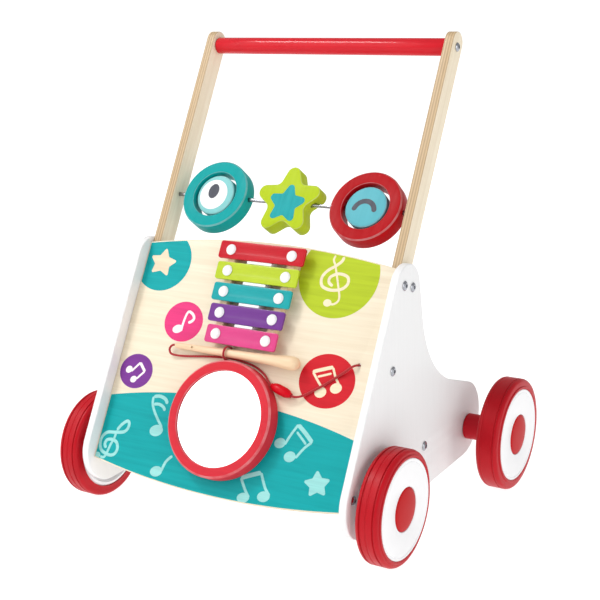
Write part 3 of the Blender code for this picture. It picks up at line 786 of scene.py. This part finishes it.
def make_spacers():
    outside = SIDE_X + SIDE_T
    length = WHEELS[1][1] - 0.4 - outside - GAP
    sleeve = [(AXLE_R + GAP, 0.0), (SPACER_R - 0.8, 0.0), (SPACER_R, 0.8), (SPACER_R, length - 0.8),
              (SPACER_R - 0.8, length), (AXLE_R + GAP, length)]
    for hand, side in SIDES:
        place = across(outside + GAP, WHEELBASE, WHEELS[1][3], side)
        spacer = turned(f"spacer_{hand}_sleeve", sleeve, place, "spacer_red", 64, True)
        fixed(spacer, "red_plastic", f"rear_spacer_{hand}")


# ---- Side panels, uprights, handle and brace ----

EDGE_W, SIDE_BOTTOM, SIDE_TOP = 13.3, 29.0, 274.0
FRONT_LOBE_R, TOP_LOBE_R, REAR_LOBE, REAR_LOBE_R, REAR_CURVE_R = 36.0, 26.3, (208.0, 70.5), 41.5, 110.0
REAR_RISE, REAR_LEAN = radians(20), radians(9)
SIDE_BOLTS = ((66.9, 254.7), (84.1, 249.1), (40.3, 176.8), (-41.5, 76.0))     # seen as the outline is
# Radius of the head, its height, radius of the shank and its length
HANDLE_SCREW, BRACE_BOLT, SIDE_BOLT = (4.5, 2.3, 2.0, 25.0), (5.0, 2.2, 2.5, 24.0), (4.8, 2.2, 2.5, 4.0)


def side_outline():
    """Side panel seen from outside, as (distance behind the front axle, height)."""
    def lobe_centre(height, radius):
        edge = EDGE_W - PANEL_FOOT[0] * cos(LEAN) + PANEL_FOOT[1] * sin(LEAN)
        return ((height * sin(LEAN) - edge + radius) / cos(LEAN), height)

    front = lobe_centre(SIDE_BOTTOM + FRONT_LOBE_R, FRONT_LOBE_R)
    top = lobe_centre(SIDE_TOP - TOP_LOBE_R, TOP_LOBE_R)
    rise = Vector((sin(REAR_RISE), cos(REAR_RISE)))
    lean = Vector((cos(REAR_LEAN), sin(REAR_LEAN)))
    rise_far = rise.dot(Vector(REAR_LOBE)) + REAR_LOBE_R + REAR_CURVE_R
    lean_far = lean.dot(Vector(top)) + TOP_LOBE_R + REAR_CURVE_R
    cross = rise.x * lean.y - rise.y * lean.x
    curve = ((rise_far * lean.y - lean_far * rise.y) / cross,
             (rise.x * lean_far - lean.x * rise_far) / cross)
    facing_front = pi - LEAN
    outline = arc(front, FRONT_LOBE_R, facing_front, 1.5 * pi, 28)
    outline += arc(REAR_LOBE, REAR_LOBE_R, -pi / 2, pi / 2 - REAR_RISE, 40)
    outline += arc(curve, REAR_CURVE_R, 1.5 * pi - REAR_RISE, pi + REAR_LEAN, 30)
    outline += arc(top, TOP_LOBE_R, REAR_LEAN, facing_front, 32)
    return outline


def make_side_panels():
    holes = [circle((behind, radius), AXLE_R + GAP) for _, _, behind, radius in WHEELS]
    holes.append(circle(BRACE, BRACE_BOLT[2] + GAP))
    for hand, side in SIDES:
        place = shift((SIDE_X + SIDE_T / 2) * side, FRONT_AXLE_Y, 0)
        place = place @ Matrix.Rotation(pi / 2, 4, "Z") @ Matrix.Rotation(pi / 2, 4, "X")
        panel = flat(f"side_{hand}_board", [side_outline()] + holes, SIDE_T, place, "side_white", 1.1)
        fixed(panel, "white_painted_wood", f"side_panel_{hand}")


def make_uprights():
    low, high = UPRIGHT_V
    half = UPRIGHT_D / 2
    outline = rounded([(-half, low), (half, low), (half, high), (-half, high)], [3.0, 3.0, 11.2, 11.2], 16)
    for hand, side in SIDES:
        middle = side * (SPAN + GAP + UPRIGHT_T / 2)
        place = on_panel(middle, 0, UPRIGHT_MID) @ Matrix.Rotation(pi / 2, 4, "Y")
        outlines = [outline, circle((0, BAR_V), HANDLE_SCREW[2] + GAP, 24)]
        upright = flat(f"upright_{hand}_board", outlines, UPRIGHT_T, place, "upright_birch", 0.8)
        rod = across_at(ROD_V, UPRIGHT_MID, SPAN, side)
        drill(upright, ROD_R + GAP, UPRIGHT_T + 4.0, place.inverted() @ rod)
        fixed(settle(upright), "birch_ply", f"upright_{hand}")


def make_handle():
    eased = [(0.0, SPAN), (BAR_R - 1.0, SPAN), (BAR_R - 0.4, SPAN - 0.3), (BAR_R, SPAN - 1.1),
             (BAR_R + 0.04, SPAN * 0.6), (BAR_R - 0.03, SPAN * 0.3), (BAR_R, 0.0)]
    bar = turned("handle_dowel", both_ends(eased), across_at(BAR_V, UPRIGHT_MID), "handle_red", 96)
    fixed(bar, "red_painted_wood", "handle_bar")


def make_brace():
    end = SIDE_X - GAP
    eased = [(0.0, end), (BRACE_R - 1.0, end), (BRACE_R, end - 1.0), (BRACE_R, 0.0)]
    brace = turned("brace_turning", both_ends(eased), across(0, *BRACE), "beech_z", 72)
    fixed(brace, "beech", "brace_dowel")


def screw(name, sizes, place, *nodes):
    """Round-headed fixing with a hexagonal socket. Its head rises out of place along Z."""
    radius, rise, shank_r, shank_l = sizes
    profile = [(0.0, rise), (radius * 0.42, rise * 0.97), (radius * 0.7, rise * 0.8),
               (radius * 0.9, rise * 0.5), (radius, GAP + 0.3), (radius * 0.97, GAP),
               (shank_r, GAP), (shank_r, -shank_l), (0.0, -shank_l)]
    made = turned(name, profile, place, "bolt_steel", 48)
    drill(made, radius * 0.4, rise * 1.3, shift(0, 0, rise), 6)
    fixed(made, "steel", *nodes)


def make_fixings():
    outside = SIDE_X + SIDE_T
    for hand, side in SIDES:
        bar_end = across_at(BAR_V, UPRIGHT_MID, SPAN + GAP + UPRIGHT_T, side)
        screw(f"handle_screw_{hand}_head", HANDLE_SCREW, bar_end, f"handle_screw_{hand}")
        screw(f"brace_bolt_{hand}_head", BRACE_BOLT, across(outside, *BRACE, side), f"brace_bolt_{hand}")
        for number, place in enumerate(SIDE_BOLTS, 1):
            screw(f"side_bolt_{hand}_{number}", SIDE_BOLT, across(outside, *place, side))


# ---- Toys on the rod ----

TOY_BORE_R = 2.6
RING_R, RING_HOLE_R, RING_T = 39.2, 26.0, 18.0
RINGS = {"teal": (-88.0, 38.0), "red": (94.0, 40.0)}       # place along the rod, and tilt
FACE_R, FACE_T = 22.6, 14.0
FACES = {"eye_disc": (-88.0, 34.0, "toy_pale_teal"), "wink_disc": (94.0, 38.0, "toy_pale_blue")}
STAR_X, STAR_TILT, STAR_TURN = 3.0, 35.0, -3.0
STAR_POINT_R, STAR_NOTCH_R, STAR_T = 52.5, 22.0, 17.0
STAR_PRINT_POINT_R, STAR_PRINT_NOTCH_R, STAR_PRINT_DROP, STAR_PRINT_TURN = 27.5, 12.8, 4.0, STAR_TURN + 6


def toy_place(x, tilt, out=0.0):
    """Matrix of a toy on the rod, with its Z out of the toy's face."""
    turn = Matrix.Rotation(pi / 2 - radians(tilt), 4, "X")
    rod = Matrix.Translation(across_at(ROD_V, UPRIGHT_MID, x).translation)
    return rod @ turn @ shift(0, 0, out)


def star_outline(point, notch, turn, point_r, notch_r, count=10):
    corners = []
    for i in range(10):
        radius = notch if i % 2 else point
        angle = pi / 2 + i * pi / 5 - radians(turn)
        corners.append((radius * cos(angle), radius * sin(angle)))
    return rounded(corners, [point_r, notch_r] * 5, count)


def hang(made, place, name, paint):
    """Drill the rod's bore through a toy made at that place, and let it spin."""
    rod = across_at(ROD_V, UPRIGHT_MID, 0) @ Matrix.Translation((0, 0, place.translation.x))
    drill(made, TOY_BORE_R, 2.4 * STAR_POINT_R, place.inverted() @ rod)
    piece(made, name + "_spinner", paint + "_painted_wood", name)


def make_rings():
    half = RING_T / 2
    out = both_ends([(RING_R - 5.0, half), (RING_R - 1.5, half), (RING_R, half - 1.5)])
    out = rounded(out, 0.5, 3, False)
    inner = arc((RING_HOLE_R + 1.0, 1.0 - half), 1.0, -pi / 2, -pi, 4)
    inner += arc((RING_HOLE_R + 1.0, half - 1.0), 1.0, pi, pi / 2, 4)
    for colour, (x, tilt) in RINGS.items():
        name, place = colour + "_ring", toy_place(x, tilt)
        ring = turned(name + "_turning", out + inner, place, "toy_" + colour, 144, True)
        hang(ring, place, name, colour)


def make_faces():
    half = FACE_T / 2
    profile = both_ends([(0.0, half)] + arc((FACE_R - 1.8, half - 1.8), 1.8, pi / 2, 0.0, 6))
    for name, (x, tilt, finish) in FACES.items():
        place = toy_place(x, tilt)
        hang(turned(name + "_turning", profile, place, finish, 128), place, name, "pale_teal")


def make_star():
    place = toy_place(STAR_X, STAR_TILT)
    outline = star_outline(STAR_POINT_R, STAR_NOTCH_R, STAR_TURN, 8.0, 7.0)
    star = flat("star_board", [outline], STAR_T, place, "toy_lime", 1.2, 2, 28)
    hang(star, place, "star", "lime")


# ---- Xylophone and mirror ----

BAR_COLOURS = tuple(BAR_PAINTS)          # from the top down
XYLO_TOP_V, XYLO_PITCH = 304.0, 22.2
XYLO_BAR_W, XYLO_BAR_T, XYLO_FACE_W = 18.7, 3.2, 12.0
XYLO_HALF, PIN_U, PIN_CAP_R, PIN_CAP_H, PIN_R, PIN_L = (51.0, 42.2), (36.4, 29.9), 5.7, 3.6, 1.8, 8.2
XYLO_BASE_W, RIB_HALF, RIB_DROP = 7.5, (14.7, 9.3), 0.8
MIRROR_V, MIRROR_FRAME_R, MIRROR_FRAME_H, MIRROR_SIGHT_R = 131.0, 59.4, 16.4, 48.6
GLASS_R, GLASS_T, GLASS_W = 50.5, 3.0, 14.3


def between(pair, row):
    return pair[0] + (pair[1] - pair[0]) * row / (len(BAR_COLOURS) - 1)


def make_bars():
    for row, colour in enumerate(BAR_COLOURS):
        half, deep, pin = between(XYLO_HALF, row), XYLO_BAR_W / 2, between(PIN_U, row)
        outline = rounded(box_corners(half, deep), 2.6, 8)
        place = on_panel(0, XYLO_TOP_V - row * XYLO_PITCH, XYLO_FACE_W - XYLO_BAR_T / 2)
        holes = [circle((side * pin, 0), PIN_R + 0.4, 24) for _, side in SIDES]
        bar = flat(f"{colour}_bar_plate", [outline] + holes, XYLO_BAR_T, place, "bar_" + colour, 0.7, 1, 25)
        fixed(bar, f"{colour}_painted_bar", f"xylophone_bar_{colour}")


def make_ribs():
    """Ribs of the white base, which fill the gaps between the bars."""
    high = XYLO_FACE_W - RIB_DROP
    for row in range(len(BAR_COLOURS) - 1):
        half, deep = between(RIB_HALF, row), (XYLO_PITCH - XYLO_BAR_W) / 2 - GAP
        outline = rounded(box_corners(half, deep), 0.5, 4)
        place = on_panel(0, XYLO_TOP_V - (row + 0.5) * XYLO_PITCH, (XYLO_BASE_W + high) / 2)
        rib = flat(f"base_rib_{row + 1}", [outline], high - XYLO_BASE_W - 0.04, place, "pin_white", 0.3, 2)
        fixed(rib, "white_plastic")


def make_pins():
    dome = raised(PIN_CAP_H, [(0.0, 0.0), (1.4, -0.08), (2.8, -0.4), (4.0, -1.0), (4.9, -1.8), (5.45, -2.6)])
    dome += [(PIN_CAP_R, GAP + 0.3), (PIN_CAP_R, GAP), (PIN_R, GAP), (PIN_R, -PIN_L), (0.0, -PIN_L)]
    for row, colour in enumerate(BAR_COLOURS):
        for hand, side in SIDES:
            place = on_panel(side * between(PIN_U, row), XYLO_TOP_V - row * XYLO_PITCH, XYLO_FACE_W)
            pin = turned(f"pin_{colour}_{hand}_dome", dome, place, "pin_white", 48)
            fixed(pin, "white_plastic", f"pin_{colour}_{hand}")


def make_mirror():
    radius, high, sight, seat = MIRROR_FRAME_R, MIRROR_FRAME_H, MIRROR_SIGHT_R, GLASS_W + GAP
    ledge = GLASS_W - GLASS_T - GAP
    lip = [(radius, 2.0), (radius, high - 2.0), (radius - 2.0, high), (sight, high)]
    lip = rounded(lip, 0.5, 3, False)[1:-1] + [(sight + 1.1, high), (sight + 0.6, high - 0.2)]
    ring = [(0.0, GAP), (radius - 0.5, GAP), (radius, GAP + 0.5)] + lip
    ring += [(sight, high - 1.1), (sight, seat), (GLASS_R + GAP, seat), (GLASS_R + GAP, ledge), (0.0, ledge)]
    surround = settle(turned("mirror_surround", ring, on_panel(0, MIRROR_V), "mirror_coral", 160))
    fixed(surround, "coral_painted_wood", "mirror_frame")
    glass = raised(GLASS_W, [(0.0, 0.0), (GLASS_R - 0.6, 0.0), (GLASS_R, -0.5), (GLASS_R, -GLASS_T),
                             (0.0, -GLASS_T)])
    fixed(turned("mirror_sheet", glass, on_panel(0, MIRROR_V), "mirror", 160), "mirror", "mirror_glass")


# ---- Play panel and its prints ----

INK, INK_LIFT = 0.05, 0.01      # thickness of ink, and the hair of air under it


def panel_outline(inset=0.0):
    """Play panel: straight sides, top and bottom edges bowed out."""
    radius = (PANEL_HALF ** 2 + PANEL_BOW ** 2) / (2 * PANEL_BOW)
    spread = asin((PANEL_HALF - inset) / (radius - inset))
    low, high = PANEL_V
    top = arc((0, high + PANEL_BOW - radius), radius - inset, pi / 2 - spread, pi / 2 + spread, 60)
    bottom = arc((0, low - PANEL_BOW + radius), radius - inset, 1.5 * pi - spread, 1.5 * pi + spread, 60)
    return top + bottom


PRINT_LIMIT = panel_outline(1.2)


def clipped(outline, limit):
    """What lies of the outline inside limit, which is convex and runs anticlockwise."""
    for start, end in round_pairs(limit):
        run = Vector(end) - Vector(start)
        kept = []
        for a, b in round_pairs(outline):
            a_in, b_in = run.cross(Vector(a) - Vector(start)), run.cross(Vector(b) - Vector(start))
            if a_in >= 0:
                kept.append(a)
            if (a_in >= 0) != (b_in >= 0):
                kept.append(tuple(Vector(a).lerp(Vector(b), a_in / (a_in - b_in))))
        outline = kept
    return outline


def oval(centre, across_r, up_r, turn=0.0, count=48):
    points = []
    for a in (2 * pi * i / count for i in range(count)):
        x, y = across_r * cos(a), up_r * sin(a)
        points.append((centre[0] + x * cos(turn) - y * sin(turn), centre[1] + x * sin(turn) + y * cos(turn)))
    return points


def add_patch(bm, outline, low, high):
    """Layer of ink over an outline, from low to high above the surface."""
    bottom, top = ([bm.verts.new((x * MM, y * MM, z * MM)) for x, y in outline] for z in (low, high))
    bm.faces.new(top)
    bm.faces.new(bottom[::-1])
    add_skin(bm, bottom, top)


def add_stroke(bm, points, width, low, high):
    """Round-ended line of ink through the points. It climbs a little, so that it can cross itself."""
    line = curve_through([(x, y) for x, y in points], 0.8)
    reach = [0.0]
    for a, b in zip(line, line[1:]):
        reach.append(reach[-1] + (b - a).length)
    rows = []
    for i, point in enumerate(line):
        run = (line[min(i + 1, len(line) - 1)] - line[max(i - 1, 0)]).normalized()
        left = Vector((-run.y, run.x))
        near_end = min(reach[i], reach[-1] - reach[i], width / 2)
        half = max(sqrt(max(width ** 2 / 4 - (width / 2 - near_end) ** 2, 0.0)), 0.12)
        top = high + INK * reach[i] / reach[-1]
        edges = (point + left * half, point - left * half)
        rows.append([bm.verts.new((*(e * MM), z * MM)) for z in (low, top) for e in edges])
    for a, b in zip(rows, rows[1:]):
        for i, j in ((0, 1), (1, 3), (3, 2), (2, 0)):
            bm.faces.new((a[i], a[j], b[j], b[i]))
    for row in (rows[0], rows[-1]):
        bm.faces.new([row[i] for i in (0, 1, 3, 2)])


def print_on(name, finish, patches, strokes=(), layer=1, place=PANEL, body="frame"):
    """Print on the panel, or on the surface whose Z points out of place. Layers lie on one another."""
    bm = bmesh.new()
    low, high = INK_LIFT, INK * layer * 1.6
    for number, outline in enumerate(patches):
        add_patch(bm, outline, low, high + 0.004 * number)
    for points, width in strokes:
        add_stroke(bm, points, width, low, high + INK * 0.4)
    return piece(mesh_object(name, bm, place, finish), body)


def make_play_panel():
    outlines = [panel_outline(), circle(CORD_ROUTE[0][:2], CORD_R + 0.6, 24)]
    board = flat("play_board", outlines, PANEL_T, on_panel(0, 0, -PANEL_T / 2), "panel_birch", 0.4)
    fixed(board, "birch_ply", "play_panel")


ROUNDS = {                      # ink: middle, half the width and half the height
    "teal": ((-126, 286.5), 35, 33),
    "pink": ((-81, 224.5), 24, 21.5),
    "purple": ((-124.5, 164.8), 21, 18.5),
    "lime": ((87, 293), 44.5, 43.5),
    "red": ((101, 188), 30.5, 26.8),
}
BAND_CROWN, BAND_HALF, BAND_SAG, BAND_END = 153.5, 147.0, 17.5, 158.0


def make_print_fields():
    """Coloured rounds behind the symbols, and the band along the panel's foot."""
    for colour, sizes in ROUNDS.items():
        print_on(f"{colour}_round", "ink_" + colour, [clipped(oval(*sizes, 0, 96), PRINT_LIMIT)])
    radius = (BAND_HALF ** 2 + BAND_SAG ** 2) / (2 * BAND_SAG)
    spread = asin(BAND_END / radius)
    low = PANEL_V[0] - 2 * PANEL_BOW
    band = arc((0, BAND_CROWN - radius), radius, pi / 2 - spread, pi / 2 + spread, 80)
    band += [(-BAND_END, low), (BAND_END, low)]
    print_on("teal_band", "ink_teal", [clipped(band, PRINT_LIMIT)])


SYMBOLS = (                     # name, ink, ovals, strokes with their widths
    ("eighth_note", "ink_white", [((-86, 216), 6.4, 4.4, 0.3)],
     [([(-81, 214), (-81, 222), (-79.5, 232), (-77, 237)], 2.6),
      ([(-77.5, 236.5), (-71.5, 233.5), (-69, 229.5), (-71, 226), (-75, 224)], 3.0)]),
    ("small_pair", "ink_white", [((-134, 165.3), 4.3, 3.7, 0.5), ((-125.3, 155.8), 4.1, 3.5, 0.5)],
     [([(-130.8, 163.5), (-126.5, 168.5), (-121.5, 174.5)], 2.2),
      ([(-121.8, 174.3), (-117.5, 170), (-113, 165.6)], 3.2),
      ([(-113.2, 166), (-117.5, 161.5), (-121.6, 156.5)], 2.2)]),
    ("large_clef", "ink_cream", [((81.5, 264.2), 4.6, 3.7)],
     [([(88.3, 312.3), (86.8, 307.5), (81, 302), (74, 297), (69.5, 291), (69, 285), (72, 280), (80, 277.5),
        (88, 278), (95, 280.5), (99, 286), (97.5, 292), (91, 294.5), (84, 294), (78, 290), (78, 285),
        (83, 281.5)], 3.1),
      ([(78.5, 313.0), (77.5, 308), (80.5, 303), (83, 297), (86, 290), (90, 280),
        (93, 272), (92.6, 267), (88, 263.5), (82, 264)], 2.1)]),
    ("beamed_pair", "ink_cream", [((97, 176.2), 6.4, 5.3, 0.3), ((112.6, 182.5), 6.3, 5.1, 0.3)],
     [([(83.5, 194.6), (94, 198.6), (104.8, 202.4)], 3.6), ([(90, 190.6), (97, 193.2), (104.5, 196)], 2.2),
      ([(84, 194.6), (93, 185.2), (101.5, 177.5)], 2.4),
      ([(104.5, 202), (109.5, 193), (117.2, 183.5)], 2.4)]),
    ("band_clef", "ink_pale_teal", [((-146, 70.6), 3.9, 3.2)],
     [([(-129, 100), (-125, 106.5), (-119, 111.5), (-115.8, 109.5), (-116, 104), (-120, 99.8), (-130, 97.6),
        (-140, 96), (-145.3, 91), (-146.3, 84), (-143.5, 77.5), (-138, 74.5), (-130, 73.2), (-124.5, 75.5),
        (-122.5, 81), (-125, 87), (-131, 89.5), (-138, 88.3), (-140, 83.5), (-137, 79.5)], 3.4),
      ([(-129, 100), (-130, 91), (-132.5, 84), (-134.5, 75), (-137, 69.8), (-142, 69.6)], 2.8)]),
    ("band_flagged_note", "ink_pale_teal", [((-80, 108), 8.2, 5.9, 0.25)],
     [([(-74, 112), (-82, 120), (-89, 128), (-93, 135), (-94, 142)], 2.8),
      ([(-93.6, 142), (-86, 143.4), (-78.5, 141.5), (-74.5, 137)], 3.6),
      ([(-91.4, 134.2), (-84.5, 135), (-78.5, 133), (-75.5, 129.5)], 3.2)]),
    ("band_low_note", "ink_pale_teal", [((-67.5, 67.6), 7.4, 5.3, 0.25)],
     [([(-61.5, 69), (-58.6, 79), (-52.5, 86.5)], 3.0)]),
    ("band_pair", "ink_pale_teal", [((66.5, 120.8), 6.2, 5.0, 0.3), ((80.6, 109.8), 6.4, 5.2, 0.3)],
     [([(72, 120), (76, 130), (82, 141.8)], 2.6), ([(81.8, 141.6), (92, 134.5), (101.2, 127.3)], 4.2),
      ([(82, 134.6), (88, 130), (95, 124.4)], 2.4), ([(100.8, 127.6), (94, 120.5), (87, 109.5)], 2.6)]),
    ("band_low_pair", "ink_pale_teal", [((40.5, 61.8), 7.0, 4.9, 0.25), ((62.6, 67.2), 7.0, 5.2, 0.25)],
     [([(47, 63), (40.5, 70), (33, 80.2)], 2.8), ([(33, 80), (43.5, 84.8), (54, 89.2)], 4.4),
      ([(69, 69), (62, 76), (54, 89)], 2.8)]),
)


NOTCH_SHARE = 0.66              # how far out the notches of a printed star lie


def tips_to_star(tips):
    """Star with those tips, its notches halfway between them and drawn in towards the middle."""
    middle = sum((Vector(t) for t in tips), Vector((0, 0))) / len(tips)
    corners = []
    for tip, following in round_pairs(tips):
        corners += [tip, tuple(middle.lerp((Vector(tip) + Vector(following)) / 2, NOTCH_SHARE))]
    return rounded(corners, [1.6, 1.2] * len(tips))


STARS = (                       # name, ink and tips
    ("bare_star", "ink_bare", [(-126, 301.5), (-144.5, 291), (-139, 272), (-116.5, 270), (-108.5, 288)]),
    ("band_star", "ink_pale_teal", [(113.5, 103.5), (100.5, 90), (110.5, 76.5), (128, 80.5), (130, 97)]),
)


def make_print_symbols():
    for name, finish, ovals, strokes in SYMBOLS:
        print_on(name, finish, [clipped(oval(*sizes), PRINT_LIMIT) for sizes in ovals], strokes, 2)
    for name, finish, tips in STARS:
        print_on(name, finish, [tips_to_star(tips)], (), 2)


def make_toy_prints():
    eye, wink = (toy_place(x, tilt, FACE_T / 2) for x, tilt, _ in FACES.values())
    white, pupil = oval((-2.4, 0.2), 17.0, 17.0, 0, 96), oval((-3.2, 4.0), 6.4, 8.4, -0.12, 64)
    print_on("eye_white", "ink_eye_white", [white], (), 1, eye, "eye_disc_spinner")
    print_on("eye_pupil", "ink_charcoal", [pupil], (), 2, eye, "eye_disc_spinner")
    lid = arc((-1, -5.2), 11.4, 0.0, pi, 16)
    print_on("wink_lid", "ink_charcoal", (), [(lid, 5.4)], 1, wink, "wink_disc_spinner")
    face = toy_place(STAR_X, STAR_TILT, STAR_T / 2) @ shift(0, -STAR_PRINT_DROP, 0)
    star = star_outline(STAR_PRINT_POINT_R, STAR_PRINT_NOTCH_R, STAR_PRINT_TURN, 4.0, 2.6, 8)
    print_on("star_print", "ink_star_teal", [star], (), 1, face, "star_spinner")


# ---- CAD pieces that stay ----

KEPT = {
    "batten_birch": ("upper_batten", "lower_batten"),
    "steel": ("front_axle", "rear_axle"),
    "rod_steel": ("toy_rod",),
    "beech_x": ("xylophone_rail_left", "xylophone_rail_right"),
    "pin_white": ("xylophone_base",),
}


def finish_kept_nodes():
    for finish, nodes in KEPT.items():
        for node in nodes:
            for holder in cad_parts[node].material_slots:
                holder.material = material(finish)


# ---- Light and floor ----

# Place and size in metres, and power in watts
LIGHTS = {"key": ((-1.4, -0.9, 2.6), 0.55, 33), "fill": ((2.4, -0.9, 0.9), 1.8, 15)}
LIGHTS_AIM = (0, 0, 0.2)
WORLD_STRENGTH = 0.48
FLOOR_HALF, FLOOR_DROP = 30.0, 0.0004           # in metres
CARD_HALF, CARD_T, CARD_FAR = 1100, 6.0, 2.7    # the last in metres, from the mirror


def make_lights():
    for name, (place, size, power) in LIGHTS.items():
        data = bpy.data.lights.new(name, "AREA")
        data.shape = "DISK"
        data.size = size
        data.energy = power
        turn = (Vector(LIGHTS_AIM) - Vector(place)).to_track_quat("-Z", "Y").to_matrix().to_4x4()
        add_object(name, data, Matrix.Translation(place) @ turn)


def make_world():
    """Soft white light all round, and plain white behind the walker."""
    world = bpy.data.worlds.new("studio")
    world.use_nodes = True
    tree = world.node_tree
    background = tree.nodes["Background"]
    background.inputs["Color"].default_value = grey(1.0)
    seen = tree.nodes.new("ShaderNodeLightPath")
    level = tree.nodes.new("ShaderNodeMapRange")
    level.inputs["To Min"].default_value = WORLD_STRENGTH
    level.inputs["To Max"].default_value = 1.0
    tree.links.new(seen.outputs["Is Camera Ray"], level.inputs["Value"])
    tree.links.new(level.outputs["Result"], background.inputs["Strength"])
    bpy.context.scene.world = world


def make_floor():
    """White floor, a hair below the tyres."""
    bm = bmesh.new()
    bmesh.ops.create_grid(bm, x_segments=1, y_segments=1, size=FLOOR_HALF)
    mesh_object("floor", bm, Matrix.Translation((0, 0, -FLOOR_DROP)), "floor_white")


def make_card():
    """White card in front of the walker and above it, where the mirror looks."""
    towards = Vector((0.515, 0.645, -0.56))
    place = facing(on_panel(0, MIRROR_V).translation - towards.normalized() * CARD_FAR, towards)
    card = flat("card", [rounded(box_corners(CARD_HALF, CARD_HALF), 60.0)], CARD_T, place, "card_white")
    card.visible_camera = False


make_camera()
make_cord(make_bead())
make_mallet()
make_loop()
make_wheels()
make_spacers()
make_side_panels()
make_uprights()
make_handle()
make_brace()
make_fixings()
make_rings()
make_faces()
make_star()
make_bars()
make_ribs()
make_pins()
make_mirror()
make_play_panel()
make_print_fields()
make_print_symbols()
make_toy_prints()
finish_kept_nodes()
make_world()
make_lights()
make_floor()
make_card()
bpy.context.scene.view_settings.view_transform = "Standard"
